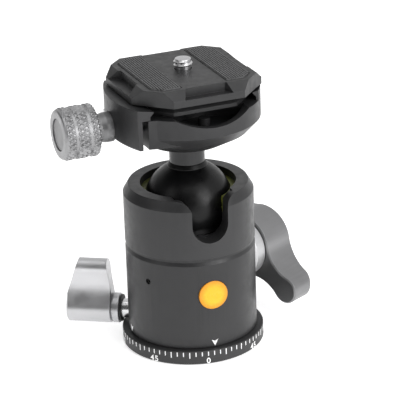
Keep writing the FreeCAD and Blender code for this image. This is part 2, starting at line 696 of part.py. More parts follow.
def make_stem_ring():
    """The flared foot of the stem, seated on the ball."""
    bore = STEM_RADIUS + RUNNING_CLEARANCE
    low = BALL_Z + math.sqrt(BALL_RADIUS ** 2 - STEM_RING_RADIUS ** 2) - 1
    profile = [(bore, low), (STEM_RING_RADIUS, low), (STEM_RING_RADIUS, STEM_RING_TOP_Z - STEM_RING_TAPER)]
    profile += [(bore, STEM_RING_TOP_Z)]
    return turned(profile).cut(sphere(BALL_RADIUS + SEAT_CLEARANCE, BALL_Z))


def make_stem():
    """The stem, hollowed below to sit on the ball, with a spigot for the clamp."""
    profile = [(0, BALL_Z), (STEM_RADIUS, BALL_Z), (STEM_RADIUS, STEM_TOP_Z)]
    profile += [(STEM_SPIGOT_RADIUS, STEM_TOP_Z)]
    profile += [(STEM_SPIGOT_RADIUS, STEM_TOP_Z + STEM_SPIGOT_HEIGHT)]
    profile += [(BOLT_RADIUS, STEM_TOP_Z + STEM_SPIGOT_HEIGHT), (BOLT_RADIUS, STEM_TOP_Z - 4)]
    profile += [(0, STEM_TOP_Z - 4)]
    return turned(profile).cut(sphere(BALL_RADIUS + SEAT_CLEARANCE, BALL_Z))


def make_clamp_bolt():
    """The bolt that holds the clamp on the stem."""
    low = STEM_TOP_Z - 4 + LOOSE_CLEARANCE
    seat = STEM_TOP_Z + STEM_SPIGOT_HEIGHT
    radius = BOLT_RADIUS - RUNNING_CLEARANCE
    bolt = disc(radius, low, seat + 0.5)
    head = disc(BOLT_HEAD_RADIUS, seat, seat + BOLT_HEAD_HEIGHT)
    socket = disc(BOLT_RADIUS / 1.2, seat + BOLT_HEAD_HEIGHT - 1.8, seat + BOLT_HEAD_HEIGHT + 1)
    return bolt.fuse(head).cut(socket).removeSplitter()


def lip_outline():
    """The (u, z) points of a jaw's lip, parallel to the plate's flange and underside."""
    wall = JAW_WALL_U
    tip = FLANGE_HALF_U - FLANGE_FLANK + DOVETAIL_GAP + LIP_SHORT
    neck = FLANGE_HALF_U - FLANGE_FLANK
    slope = (SLAB_BOTTOM_Z - NECK_Z) / (SLAB_HALF_U - neck)
    shelf = SLAB_BOTTOM_Z - JAW_TOP_GAP
    tip_top = NECK_Z + slope * (tip - neck) - JAW_TOP_GAP
    return [(SLAB_HALF_U, shelf), (tip, tip_top), (tip, FLANGE_BAND_Z + wall - tip),
            (wall, FLANGE_BAND_Z)]


def fixed_jaw():
    """The jaw that is one piece with the clamp body."""
    wall = JAW_WALL_U
    outer = JAW_WALL_U + FIXED_JAW_WALL
    shelf = SLAB_BOTTOM_Z - JAW_TOP_GAP
    outline = [(wall, CLAMP_FLOOR_Z - 1), (outer, CLAMP_FLOOR_Z - 1), (outer, shelf)]
    return side_prism(outline + lip_outline(), -FIXED_JAW_HALF_V, FIXED_JAW_HALF_V)


def make_clamp_body():
    """The fixed part of the clamp: turned underside, flat floor, front and back pockets."""
    profile = [(0, STEM_TOP_Z), (CLAMP_FOOT_RADIUS, STEM_TOP_Z)]
    profile += [(CLAMP_CONE_MID_RADIUS, CLAMP_CONE_MID_Z), (CLAMP_RADIUS, CLAMP_SIDE_Z)]
    profile += [(CLAMP_RADIUS, CLAMP_FLOOR_Z), (0, CLAMP_FLOOR_Z)]
    body = turned(profile)
    left = CLAMP_LEFT_U
    half_v = CLAMP_BLOCK_HALF_V
    flare = CLAMP_BLOCK_FLARE
    block = [(left, -half_v), (left, half_v), (-CLAMP_BLOCK_CORNER, half_v + flare)]
    block += [(-CLAMP_BLOCK_CORNER, -half_v - flare)]
    body = body.fuse(prism(block, CLAMP_BLOCK_Z, CLAMP_FLOOR_Z))
    body = body.fuse(fixed_jaw().common(disc(CLAMP_RADIUS, STEM_TOP_Z, SLAB_TOP_Z)))
    wide = 2 * CLAMP_RADIUS
    body = body.cut(box((-wide, -wide, STEM_TOP_Z - 1), (left, wide, SLAB_TOP_Z)))
    for side in (-1, 1):
        lens = disc(POCKET_RADIUS, POCKET_FLOOR_Z, CLAMP_FLOOR_Z + 1)
        lens.translate(point(0, side * (POCKET_REACH - POCKET_RADIUS), 0))
        far = disc(POCKET_RADIUS, POCKET_FLOOR_Z - 1, CLAMP_FLOOR_Z + 2)
        far.translate(point(0, side * POCKET_CENTRE_V, 0))
        body = body.cut(lens.common(far))
    body = body.cut(rim_dips())
    body = body.cut(clamp_bores())
    return in_head(body.removeSplitter())


def rim_dips():
    """The round scoops that lower the rim outside the front and back pockets."""
    radius = (RIM_DIP_HALF_U ** 2 + RIM_DIP ** 2) / (2 * RIM_DIP)
    centre_z = CLAMP_FLOOR_Z - RIM_DIP + radius
    start = (POCKET_CENTRE_V + POCKET_REACH - POCKET_RADIUS) / 2
    front = Part.makeCylinder(
        radius, CLAMP_RADIUS, point(RIM_DIP_U, -start, centre_z), point(0, -1, 0)
    )
    return Part.makeCompound([front, mirrored(front, (0, 1, 0))])


def clamp_bores():
    """The holes in the clamp body for the stem, bolt, screw, guide pins and stop pin."""
    spigot = disc(STEM_SPIGOT_RADIUS + RUNNING_CLEARANCE, STEM_TOP_Z - 1,
                  STEM_TOP_Z + STEM_SPIGOT_HEIGHT + LOOSE_CLEARANCE)
    well = disc(BOLT_HEAD_RADIUS + LOOSE_CLEARANCE, STEM_TOP_Z + STEM_SPIGOT_HEIGHT,
                CLAMP_FLOOR_Z + 1)
    bores = spigot.fuse(well)
    screw = disc(CLAMP_SCREW_RADIUS + RUNNING_CLEARANCE, -CLAMP_SCREW_END_U - 1, JAW_OUTER_REACH)
    bores = bores.fuse(along_u(screw, CLAMP_SCREW_V, CLAMP_SCREW_Z))
    depth = -CLAMP_LEFT_U - GUIDE_PIN_DEPTH - 0.5
    for side in (-1, 1):
        pin = disc(GUIDE_PIN_RADIUS + RUNNING_CLEARANCE, depth, JAW_OUTER_REACH)
        bores = bores.fuse(along_u(pin, side * GUIDE_PIN_V, GUIDE_PIN_Z))
    stop = disc(STOP_PIN_RADIUS + RUNNING_CLEARANCE, POCKET_FLOOR_Z - STOP_PIN_DEPTH,
                POCKET_FLOOR_Z + 1)
    stop.translate(point(0, -STOP_PIN_V, 0))
    return bores.fuse(stop)


def make_stop_pin():
    """The short pin that stands in the clamp's front pocket."""
    low = POCKET_FLOOR_Z - STOP_PIN_DEPTH
    pin = disc(STOP_PIN_RADIUS, low, POCKET_FLOOR_Z + STOP_PIN_HEIGHT)
    pin.translate(point(0, -STOP_PIN_V, 0))
    return in_head(pin)


def make_moving_jaw():
    """The jaw that the clamp screw pulls in, round outside and undercut inside."""
    outer = JAW_OUTER_REACH
    arc_radius = JAW_ARC_RADIUS
    wall = JAW_WALL_U
    floor = CLAMP_FLOOR_Z + LOOSE_CLEARANCE
    outline = [(JAW_FACE_U, JAW_BOTTOM_Z), (-outer, JAW_BOTTOM_Z)]
    outline += [(-outer, SLAB_BOTTOM_Z - JAW_TOP_GAP)]
    outline += [(-u, height) for u, height in lip_outline()]
    outline += [(-wall, floor), (JAW_FACE_U, floor)]
    jaw = side_prism(outline, -JAW_HALF_V, JAW_HALF_V)
    edge = JAW_EDGE
    shell = turned([(0, JAW_BOTTOM_Z), (arc_radius - edge, JAW_BOTTOM_Z),
                    (arc_radius, JAW_BOTTOM_Z + edge), (arc_radius, SLAB_TOP_Z), (0, SLAB_TOP_Z)])
    shell.translate(point(arc_radius - outer, -JAW_ARC_V, 0))
    jaw = jaw.common(shell)
    screw = disc(CLAMP_SCREW_RADIUS + RUNNING_CLEARANCE, 0, 2 * JAW_OUTER_REACH)
    jaw = jaw.cut(along_u(screw, CLAMP_SCREW_V, CLAMP_SCREW_Z))
    seat = disc(CLAMP_COLLAR_RADIUS + LOOSE_CLEARANCE, CLAMP_COLLAR_START - LOOSE_CLEARANCE,
                2 * JAW_OUTER_REACH)
    jaw = jaw.cut(along_u(seat, CLAMP_SCREW_V, CLAMP_SCREW_Z))
    for side in (-1, 1):
        pin = disc(GUIDE_PIN_RADIUS + RUNNING_CLEARANCE, 0,
                   GUIDE_PIN_REACH + LOOSE_CLEARANCE - JAW_FACE_U)
        jaw = jaw.cut(along_u(pin, side * GUIDE_PIN_V, GUIDE_PIN_Z))
    return in_head(jaw)


def make_guide_pins():
    """The two pins that keep the moving jaw square."""
    start = -CLAMP_LEFT_U - GUIDE_PIN_DEPTH
    end = GUIDE_PIN_REACH - JAW_FACE_U
    pins = []
    for side in (-1, 1):
        pin = along_u(disc(GUIDE_PIN_RADIUS, start, end), side * GUIDE_PIN_V, GUIDE_PIN_Z)
        pins.append(in_head(pin))
    return Part.makeCompound(pins)


def make_clamp_screw():
    """The screw that runs through the moving jaw into the clamp body."""
    start = -CLAMP_SCREW_END_U
    end = CLAMP_KNOB_START + CLAMP_KNOB_LENGTH / 2
    return in_head(along_u(disc(CLAMP_SCREW_RADIUS, start, end), CLAMP_SCREW_V, CLAMP_SCREW_Z))


def make_clamp_collar():
    """The dark collar between the moving jaw and the clamp knob."""
    start = CLAMP_COLLAR_START
    end = start + CLAMP_COLLAR_LENGTH
    bore = CLAMP_SCREW_RADIUS + RUNNING_CLEARANCE
    waist = CLAMP_COLLAR_RADIUS - CLAMP_COLLAR_TAPER
    profile = [(bore, start), (CLAMP_COLLAR_RADIUS, start)]
    profile += [(CLAMP_COLLAR_RADIUS, start + CLAMP_COLLAR_LENGTH / 2), (waist, end - 1)]
    profile += [(waist, end), (CLAMP_NECK_RADIUS, end)]
    profile += [(CLAMP_NECK_RADIUS, end + CLAMP_NECK_LENGTH)]
    profile += [(bore, end + CLAMP_NECK_LENGTH)]
    return in_head(along_u(turned(profile), CLAMP_SCREW_V, CLAMP_SCREW_Z))


def make_clamp_knob():
    """The round clamp knob with two turned grooves, a rear taper and a recessed face."""
    start = CLAMP_KNOB_START
    end = start + CLAMP_KNOB_LENGTH
    radius = CLAMP_KNOB_RADIUS
    edge = CLAMP_KNOB_EDGE
    low = radius - CLAMP_KNOB_GROOVE
    profile = [(0, start), (radius - 2 * edge, start), (radius, start + edge)]
    for share in (1 / 3, 2 / 3):
        middle = start + edge + (CLAMP_KNOB_LENGTH - 2 * edge) * share
        half = CLAMP_KNOB_GROOVE_WIDTH / 2
        profile += [(radius, middle - half), (low, middle - half / 2)]
        profile += [(low, middle + half / 2), (radius, middle + half)]
    profile += [(radius, end - edge), (radius - edge, end), (CLAMP_CAP_RADIUS + 0.2, end)]
    floor = end - CLAMP_CAP_RECESS - CLAMP_CAP_THICKNESS
    profile += [(CLAMP_CAP_RADIUS + 0.2, floor), (0, floor)]
    knob = turned(profile)
    bore = CLAMP_SCREW_RADIUS + RUNNING_CLEARANCE
    knob = knob.cut(disc(bore, start - 1, start + CLAMP_KNOB_LENGTH / 2 + LOOSE_CLEARANCE))
    return in_head(along_u(knob, CLAMP_SCREW_V, CLAMP_SCREW_Z))


def make_clamp_cap():
    """The flat cap in the clamp knob's face."""
    end = CLAMP_KNOB_START + CLAMP_KNOB_LENGTH - CLAMP_CAP_RECESS
    cap = disc(CLAMP_CAP_RADIUS, end - CLAMP_CAP_THICKNESS, end)
    return in_head(along_u(cap, CLAMP_SCREW_V, CLAMP_SCREW_Z))


def plate_slab():
    """The bevelled slab of the plate, before its pockets."""
    low = chamfered_rectangle(SLAB_HALF_U, SLAB_HALF_V, SLAB_CORNER)
    band = prism(low, SLAB_BOTTOM_Z, SLAB_SHOULDER_Z)
    wires = []
    for half_u, half_v, height in (
        (SLAB_HALF_U, SLAB_HALF_V, SLAB_SHOULDER_Z),
        (SLAB_TOP_HALF, SLAB_TOP_HALF, SLAB_TOP_Z),
    ):
        corners = [(half_u, half_v), (-half_u, half_v), (-half_u, -half_v), (half_u, -half_v)]
        points = [point(x, y, height) for x, y in corners]
        wires.append(Part.makePolygon(points + points[:1]))
    bevel = Part.makeLoft(wires, True, True)
    return band.fuse(bevel.common(prism(low, SLAB_BOTTOM_Z, SLAB_TOP_Z)))


def plate_flange():
    """The dovetail below the slab: a band, a 45 degree flank and a sloped underside."""
    flank = FLANGE_FLANK
    neck_u = FLANGE_HALF_U - flank
    neck_v = FLANGE_HALF_V - flank
    levels = [
        (FLANGE_HALF_U, FLANGE_HALF_V, FLANGE_CORNER, FLANGE_BOTTOM_Z),
        (FLANGE_HALF_U, FLANGE_HALF_V, FLANGE_CORNER, FLANGE_BAND_Z),
        (neck_u, neck_v, FLANGE_CORNER - 0.5 * flank, NECK_Z),
        (SLAB_HALF_U, SLAB_HALF_V, SLAB_CORNER, SLAB_BOTTOM_Z),
    ]
    flange = None
    for lower, upper in zip(levels[:-1], levels[1:]):
        wires = []
        for half_u, half_v, corner, height in (lower, upper):
            outline = chamfered_rectangle(half_u, half_v, corner)
            points = [point(x, y, height) for x, y in outline]
            wires.append(Part.makePolygon(points + points[:1]))
        layer = Part.makeLoft(wires, True, True)
        flange = layer if flange is None else flange.fuse(layer)
    return flange


def plate_pockets():
    """The windows in the front and back bevels and the pockets in the side bevels."""
    pockets = []
    inner = SLAB_TOP_HALF - WINDOW_INSET
    outer = SLAB_HALF_V + 2
    lean = (WINDOW_FOOT_HALF - WINDOW_TOP_HALF) / (SLAB_HALF_V - inner)
    wide = WINDOW_TOP_HALF + lean * (outer - inner)
    window = prism(
        [(-WINDOW_TOP_HALF, inner), (WINDOW_TOP_HALF, inner), (wide, outer), (-wide, outer)],
        SLAB_SHOULDER_Z, SLAB_TOP_Z + 1,
    )
    pockets += [window, mirrored(window, (0, 1, 0))]
    deep = SLAB_TOP_HALF - SIDE_POCKET_INSET
    far = SLAB_HALF_U + 2
    rate = (SIDE_POCKET_FOOT_HALF - SIDE_POCKET_TOP_HALF) / (SLAB_HALF_U - deep)
    spread = SIDE_POCKET_TOP_HALF + rate * (far - deep)
    half = SIDE_POCKET_TOP_HALF
    side = prism(
        [(deep, -half), (far, -spread), (far, spread), (deep, half)],
        SLAB_SHOULDER_Z, SLAB_TOP_Z + 1,
    )
    pockets += [side, mirrored(side, (1, 0, 0))]
    return Part.makeCompound(pockets)


def pad_outline(growth):
    """The pad's outline in the plate's own frame."""
    inner = PAD_INNER_U - growth
    outer = PAD_OUTER_U + growth
    half = PAD_HALF_V + growth
    corner = PAD_CORNER
    outline = [(inner, -half), (outer - corner, -half), (outer, -half + corner)]
    return outline + [(outer, half - corner), (outer - corner, half), (inner, half)]


def in_plate(shape):
    """Moves a plate piece from the plate's own centre to its place in the clamp."""
    placed = shape.copy()
    placed.translate(point(0, -PLATE_CENTRE_V, 0))
    return in_head(placed)


def make_plate():
    """The quick-release plate."""
    plate = plate_slab().fuse(plate_flange()).removeSplitter()
    plate = plate.cut(plate_pockets())
    floor = SLAB_TOP_Z - PAD_DEPTH
    recess = prism(pad_outline(PAD_CLEARANCE), floor, SLAB_TOP_Z + 1)
    plate = plate.cut(recess).cut(mirrored(recess, (1, 0, 0)))
    hole = disc(CAMERA_HOLE_RADIUS, FLANGE_BOTTOM_Z - 1, SLAB_TOP_Z + 1)
    head_room = CAMERA_HEAD_Z + CAMERA_HEAD_HEIGHT + CAMERA_HEAD_ROOM
    well = disc(CAMERA_HEAD_RADIUS + CAMERA_HEAD_ROOM, FLANGE_BOTTOM_Z - 1, head_room)
    cut = hole.fuse(well)
    cut.translate(point(CAMERA_SCREW_U, PLATE_CENTRE_V - CAMERA_SCREW_V, 0))
    return in_plate(plate.cut(cut))


def make_pad():
    """A rubber pad with long ribs, on the +U side."""
    floor = SLAB_TOP_Z - PAD_DEPTH
    top = SLAB_TOP_Z + PAD_PROUD
    pad = prism(pad_outline(0), floor, top)
    pitch = (PAD_OUTER_U - PAD_INNER_U) / (PAD_RIB_COUNT + 1)
    for index in range(PAD_RIB_COUNT):
        middle = PAD_INNER_U + pitch * (index + 1)
        low = (middle - PAD_RIB_GROOVE / 2, -PAD_HALF_V + PAD_CORNER, top - PAD_RIB_GROOVE)
        high = (middle + PAD_RIB_GROOVE / 2, PAD_HALF_V - PAD_CORNER, top + 1)
        pad = pad.cut(box(low, high))
    return pad


def make_pad_right():
    """The pad on the fixed jaw's side."""
    return in_plate(make_pad())


def make_pad_left():
    """The pad on the moving jaw's side."""
    return in_plate(mirrored(make_pad(), (1, 0, 0)))


def make_camera_screw():
    """The captive camera screw, with a thin neck in the plate and a broad head below."""
    tip = CAMERA_SCREW_TIP
    radius = CAMERA_THREAD_RADIUS
    shoulder = CAMERA_HEAD_Z + CAMERA_HEAD_HEIGHT
    profile = [(0, CAMERA_HEAD_Z), (CAMERA_HEAD_RADIUS, CAMERA_HEAD_Z)]
    profile += [(CAMERA_HEAD_RADIUS, shoulder), (CAMERA_NECK_RADIUS, shoulder)]
    profile += [(CAMERA_NECK_RADIUS, SLAB_TOP_Z + 0.2), (radius, SLAB_TOP_Z + 0.2)]
    profile += [(radius, CAMERA_SCREW_TOP_Z - tip), (radius - tip, CAMERA_SCREW_TOP_Z)]
    profile += [(0, CAMERA_SCREW_TOP_Z)]
    screw = turned(profile)
    slot = box((-CAMERA_HEAD_RADIUS, -0.6, CAMERA_HEAD_Z - 1),
               (CAMERA_HEAD_RADIUS, 0.6, CAMERA_HEAD_Z + 0.8))
    screw = screw.cut(slot)
    screw.translate(point(CAMERA_SCREW_U, -CAMERA_SCREW_V, 0))
    return in_head(screw)


def make_base_screws():
    """The screws that hold the spindle to the dial base."""
    return base_screw_set(0)


PIECES = {
    "dial_base": make_dial_base,
    "tripod_bush": make_tripod_bush,
    "pan_spindle": make_pan_spindle,
    "pan_washer": make_pan_washer,
    "base_screws": make_base_screws,
    "lower_housing": make_lower_housing,
    "upper_housing": make_upper_housing,
    "seat_ring": make_seat_ring,
    "ball_cup": make_ball_cup,
    "badge": make_badge,
    "stop_screw": make_stop_screw,
    "main_screw": make_main_screw,
    "main_collar": make_main_collar,
    "main_knob": make_main_knob,
    "lock_plunger": make_lock_plunger,
    "pan_shaft": make_pan_shaft,
    "pan_shoe": make_pan_shoe,
    "pan_ring": make_pan_ring,
    "pan_collar": make_pan_collar,
    "pan_knob": make_pan_knob,
    "ball": make_ball,
    "stem_ring": make_stem_ring,
    "stem": make_stem,
    "clamp_bolt": make_clamp_bolt,
    "clamp_body": make_clamp_body,
    "stop_pin": make_stop_pin,
    "moving_jaw": make_moving_jaw,
    "guide_pins": make_guide_pins,
    "clamp_screw": make_clamp_screw,
    "clamp_collar": make_clamp_collar,
    "clamp_knob": make_clamp_knob,
    "clamp_cap": make_clamp_cap,
    "plate": make_plate,
    "pad_left": make_pad_left,
    "pad_right": make_pad_right,
    "camera_screw": make_camera_screw,
}


os.makedirs("parts", exist_ok=True)
for name, make in PIECES.items():
    shape = make()
    shape.exportStep(os.path.join("parts", name + ".step"))
    print(name, round(shape.Volume, 2), shape.isValid(), len(shape.Solids))
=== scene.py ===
import logging
import math
from collections.abc import Callable
from dataclasses import dataclass
from enum import Enum

import bmesh
import bpy
from mathutils import Matrix, Vector


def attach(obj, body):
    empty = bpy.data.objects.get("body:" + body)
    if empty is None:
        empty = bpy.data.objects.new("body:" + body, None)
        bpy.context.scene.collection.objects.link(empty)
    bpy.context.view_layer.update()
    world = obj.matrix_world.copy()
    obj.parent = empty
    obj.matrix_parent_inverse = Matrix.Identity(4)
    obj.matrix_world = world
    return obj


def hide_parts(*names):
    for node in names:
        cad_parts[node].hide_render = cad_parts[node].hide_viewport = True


LOG = logging.getLogger("ball_head")

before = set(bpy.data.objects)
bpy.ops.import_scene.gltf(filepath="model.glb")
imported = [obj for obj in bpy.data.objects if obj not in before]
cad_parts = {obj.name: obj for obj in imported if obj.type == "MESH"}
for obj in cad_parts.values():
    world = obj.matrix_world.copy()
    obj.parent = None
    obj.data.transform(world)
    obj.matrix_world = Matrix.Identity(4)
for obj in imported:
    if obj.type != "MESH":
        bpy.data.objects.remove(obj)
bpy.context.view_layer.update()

MM = 0.001

# The textures that every finish shares. Sizes are in millimetres.
NOISE_LOW = 0.3
NOISE_HIGH = 0.7
NOISE_ROUGHNESS = 0.6
TONE_SIZE = 6.0
TONE_DETAIL = 3.0
GLOSS_SIZE = 3.0
GLOSS_DETAIL = 4.0
GRAIN_DETAIL = 3.0
BUMP_STRENGTH = 0.5
COAT_ROUGHNESS = 0.08
LEAST_ROUGHNESS = 0.03
POINTED_LOW = 0.52
POINTED_HIGH = 0.62
# Painted highlight on convex edges: its colour is the base colour times the gain, plus the lift.
HIGHLIGHT_GAIN = 2.0
HIGHLIGHT_LIFT = 0.02
# Painted shade at a round piece's rim starts at this share of its radius.
RIM_SHADE_START = 0.55
EDGE_SAMPLES = 6


class Grain(Enum):
    """The kinds of surface texture on the head's metals and plastics."""

    BLASTED = "blasted"
    TURNED = "turned"
    MOULDED = "moulded"


@dataclass(frozen=True)
class Finish:
    """One surface finish, with its colour, gloss and fine texture.

    Attributes:
        name: the material's name.
        colour: the base colour, as linear red, green and blue.
        metallic: 1 for bare metal, 0 for plastic or rubber.
        roughness: the middle of the roughness range.
        grain: the kind of fine texture.
        grain_size: the texture's size in millimetres.
        grain_depth: the bump's height in millimetres.
        tone: how much the colour changes over the surface.
        gloss_spread: how much the roughness changes over the surface.
        specular: the specular level.
        coat: the weight of a clear coat.
        turn_axis: the direction of the lathe's axis, for turned finishes.
        turn_origin: a point on the lathe's axis, in metres.
        wear: how much lighter convex edges are painted, a painted highlight.
        edge_round: the radius that the light sees on sharp edges, in millimetres.
        glow: the light that the surface gives off, painted light on a surface that is no lamp.
        rim_centre: the middle of a round piece with painted shade towards its rim, in metres.
        rim_radius: where the painted shade at the rim ends, in millimetres, or 0 for none.
        rim_colour: the colour of the painted shade at the rim.
    """

    name: str
    colour: tuple[float, float, float]
    metallic: float = 1.0
    roughness: float = 0.4
    grain: Grain = Grain.BLASTED
    grain_size: float = 0.25
    grain_depth: float = 0.01
    tone: float = 0.15
    gloss_spread: float = 0.08
    specular: float = 0.5
    coat: float = 0.0
    turn_axis: tuple[float, float, float] = (0.0, 0.0, 1.0)
    turn_origin: tuple[float, float, float] = (0.0, 0.0, 0.0)
    # Painted highlight: how much lighter the convex edges are painted.
    wear: float = 0.25
    edge_round: float = 0.22
    glow: float = 0.0
    rim_centre: tuple[float, float, float] = (0.0, 0.0, 0.0)
    rim_radius: float = 0.0
    rim_colour: tuple[float, float, float] = (0.0, 0.0, 0.0)

    def material(self) -> bpy.types.Material:
        """Builds the finish as a node material.

        Returns:
            The new material.
        """
        material = bpy.data.materials.new(self.name)
        material.use_nodes = True
        nodes = material.node_tree.nodes
        nodes.clear()
        output = nodes.new("ShaderNodeOutputMaterial")
        shader = nodes.new("ShaderNodeBsdfPrincipled")
        material.node_tree.links.new(shader.outputs["BSDF"], output.inputs["Surface"])
        shader.inputs["Metallic"].default_value = self.metallic
        shader.inputs["Specular IOR Level"].default_value = self.specular
        shader.inputs["Coat Weight"].default_value = self.coat
        shader.inputs["Coat Roughness"].default_value = COAT_ROUGHNESS
        shader.inputs["Emission Color"].default_value = (*self.colour, 1.0)
        shader.inputs["Emission Strength"].default_value = self.glow
        place = self._place(material)
        self._colour(material, shader, place)
        self._gloss(material, shader, place)
        self._bump(material, shader, place)
        return material

    def _place(self, material: bpy.types.Material) -> bpy.types.NodeSocket:
        """Makes the texture's coordinates, round the lathe's axis where it is turned.

        Args:
            material: the material to add the nodes to.

        Returns:
            The socket that gives the place on the surface.
        """
        nodes = material.node_tree.nodes
        links = material.node_tree.links
        where = nodes.new("ShaderNodeTexCoord")
        if self.grain is not Grain.TURNED:
            return where.outputs["Object"]
        shift = nodes.new("ShaderNodeVectorMath")
        shift.operation = "SUBTRACT"
        shift.inputs[1].default_value = self.turn_origin
        links.new(where.outputs["Object"], shift.inputs[0])
        along = nodes.new("ShaderNodeVectorMath")
        along.operation = "DOT_PRODUCT"
        along.inputs[1].default_value = self.turn_axis
        links.new(shift.outputs[0], along.inputs[0])
        across = nodes.new("ShaderNodeVectorMath")
        across.operation = "CROSS_PRODUCT"
        across.inputs[1].default_value = self.turn_axis
        links.new(shift.outputs[0], across.inputs[0])
        reach = nodes.new("ShaderNodeVectorMath")
        reach.operation = "LENGTH"
        links.new(across.outputs[0], reach.inputs[0])
        joined = nodes.new("ShaderNodeCombineXYZ")
        links.new(along.outputs["Value"], joined.inputs[0])
        links.new(reach.outputs["Value"], joined.inputs[1])
        return joined.outputs[0]

    def _noise(
        self, material: bpy.types.Material, place: bpy.types.NodeSocket, size: float, detail: float
    ) -> bpy.types.NodeSocket:
        """Adds a noise texture.

        Args:
            material: the material to add the node to.
            place: the socket that gives the place.
            size: the size of the noise in millimetres.
            detail: the number of finer layers.

        Returns:
            The noise's value socket.
        """
        noise = material.node_tree.nodes.new("ShaderNodeTexNoise")
        noise.inputs["Scale"].default_value = 1.0 / (size * MM)
        noise.inputs["Detail"].default_value = detail
        noise.inputs["Roughness"].default_value = NOISE_ROUGHNESS
        material.node_tree.links.new(place, noise.inputs["Vector"])
        return noise.outputs["Fac"]

    def _range(
        self, material: bpy.types.Material, value: bpy.types.NodeSocket, low: float, high: float
    ) -> bpy.types.NodeSocket:
        """Maps a noise value to a range.

        Args:
            material: the material to add the node to.
            value: the noise's socket.
            low: the lowest result.
            high: the highest result.

        Returns:
            The mapped value's socket.
        """
        mapped = material.node_tree.nodes.new("ShaderNodeMapRange")
        mapped.inputs["From Min"].default_value = NOISE_LOW
        mapped.inputs["From Max"].default_value = NOISE_HIGH
        mapped.inputs["To Min"].default_value = low
        mapped.inputs["To Max"].default_value = high
        material.node_tree.links.new(value, mapped.inputs["Value"])
        return mapped.outputs["Result"]

    def _colour(
        self,
        material: bpy.types.Material,
        shader: bpy.types.Node,
        place: bpy.types.NodeSocket,
    ) -> None:
        """Colours the surface, with slow changes of tone and a painted highlight that lightens
        convex edges.

        Args:
            material: the material.
            shader: its shader node.
            place: the socket that gives the place.
        """
        nodes = material.node_tree.nodes
        links = material.node_tree.links
        noise = self._noise(material, place, TONE_SIZE, TONE_DETAIL)
        ramp = nodes.new("ShaderNodeValToRGB")
        ramp.color_ramp.elements[0].position = NOISE_LOW
        ramp.color_ramp.elements[1].position = NOISE_HIGH
        dark = tuple(part * (1.0 - self.tone) for part in self.colour)
        light = tuple(min(part * (1.0 + self.tone), 1.0) for part in self.colour)
        ramp.color_ramp.elements[0].color = (*dark, 1.0)
        ramp.color_ramp.elements[1].color = (*light, 1.0)
        links.new(noise, ramp.inputs["Fac"])
        # Painted shade: a round piece is painted darker towards its rim.
        if self.rim_radius > 0:
            links.new(self._rim(material, ramp.outputs["Color"]), shader.inputs["Base Color"])
            return
        if self.wear <= 0:
            links.new(ramp.outputs["Color"], shader.inputs["Base Color"])
            return
        # Painted highlight: convex edges, found by their pointiness, are painted lighter.
        shape = nodes.new("ShaderNodeNewGeometry")
        edge = nodes.new("ShaderNodeMapRange")
        edge.inputs["From Min"].default_value = POINTED_LOW
        edge.inputs["From Max"].default_value = POINTED_HIGH
        edge.inputs["To Max"].default_value = self.wear
        links.new(shape.outputs["Pointiness"], edge.inputs["Value"])
        mix = nodes.new("ShaderNodeMix")
        mix.data_type = "RGBA"
        highlight_colour = tuple(min(part * HIGHLIGHT_GAIN + HIGHLIGHT_LIFT, 1.0) for part in self.colour)
        mix.inputs["B"].default_value = (*highlight_colour, 1.0)
        links.new(edge.outputs["Result"], mix.inputs["Factor"])
        links.new(ramp.outputs["Color"], mix.inputs["A"])
        links.new(mix.outputs["Result"], shader.inputs["Base Color"])

    def _rim(
        self, material: bpy.types.Material, inner: bpy.types.NodeSocket
    ) -> bpy.types.NodeSocket:
        """Paints shade towards the rim of a round piece, by deepening its colour there.

        Args:
            material: the material to add the nodes to.
            inner: the colour's socket in the middle.

        Returns:
            The mixed colour's socket.
        """
        nodes = material.node_tree.nodes
        links = material.node_tree.links
        where = nodes.new("ShaderNodeTexCoord")
        reach = nodes.new("ShaderNodeVectorMath")
        reach.operation = "DISTANCE"
        reach.inputs[1].default_value = self.rim_centre
        links.new(where.outputs["Object"], reach.inputs[0])
        fade = nodes.new("ShaderNodeMapRange")
        fade.inputs["From Min"].default_value = self.rim_radius * RIM_SHADE_START * MM
        fade.inputs["From Max"].default_value = self.rim_radius * MM
        links.new(reach.outputs["Value"], fade.inputs["Value"])
        mix = nodes.new("ShaderNodeMix")
        mix.data_type = "RGBA"
        mix.inputs["B"].default_value = (*self.rim_colour, 1.0)
        links.new(fade.outputs["Result"], mix.inputs["Factor"])
        links.new(inner, mix.inputs["A"])
        return mix.outputs["Result"]

    def _gloss(
        self,
        material: bpy.types.Material,
        shader: bpy.types.Node,
        place: bpy.types.NodeSocket,
    ) -> None:
        """Varies the roughness over the surface.

        Args:
            material: the material.
            shader: its shader node.
            place: the socket that gives the place.
        """
        noise = self._noise(material, place, GLOSS_SIZE, GLOSS_DETAIL)
        low = max(self.roughness - self.gloss_spread, LEAST_ROUGHNESS)
        high = min(self.roughness + self.gloss_spread, 1.0)
        rough = self._range(material, noise, low, high)
        material.node_tree.links.new(rough, shader.inputs["Roughness"])

    def _bump(
        self,
        material: bpy.types.Material,
        shader: bpy.types.Node,
        place: bpy.types.NodeSocket,
    ) -> None:
        """Adds the fine texture as a bump.

        Args:
            material: the material.
            shader: its shader node.
            place: the socket that gives the place.
        """
        links = material.node_tree.links
        noise = self._noise(material, place, self.grain_size, GRAIN_DETAIL)
        bump = material.node_tree.nodes.new("ShaderNodeBump")
        bump.inputs["Strength"].default_value = BUMP_STRENGTH
        bump.inputs["Distance"].default_value = self.grain_depth * MM
        links.new(noise, bump.inputs["Height"])
        if self.edge_round > 0:
            soft_edge = material.node_tree.nodes.new("ShaderNodeBevel")
            soft_edge.samples = EDGE_SAMPLES
            soft_edge.inputs["Radius"].default_value = self.edge_round * MM
            links.new(soft_edge.outputs["Normal"], bump.inputs["Normal"])
        links.new(bump.outputs["Normal"], shader.inputs["Normal"])


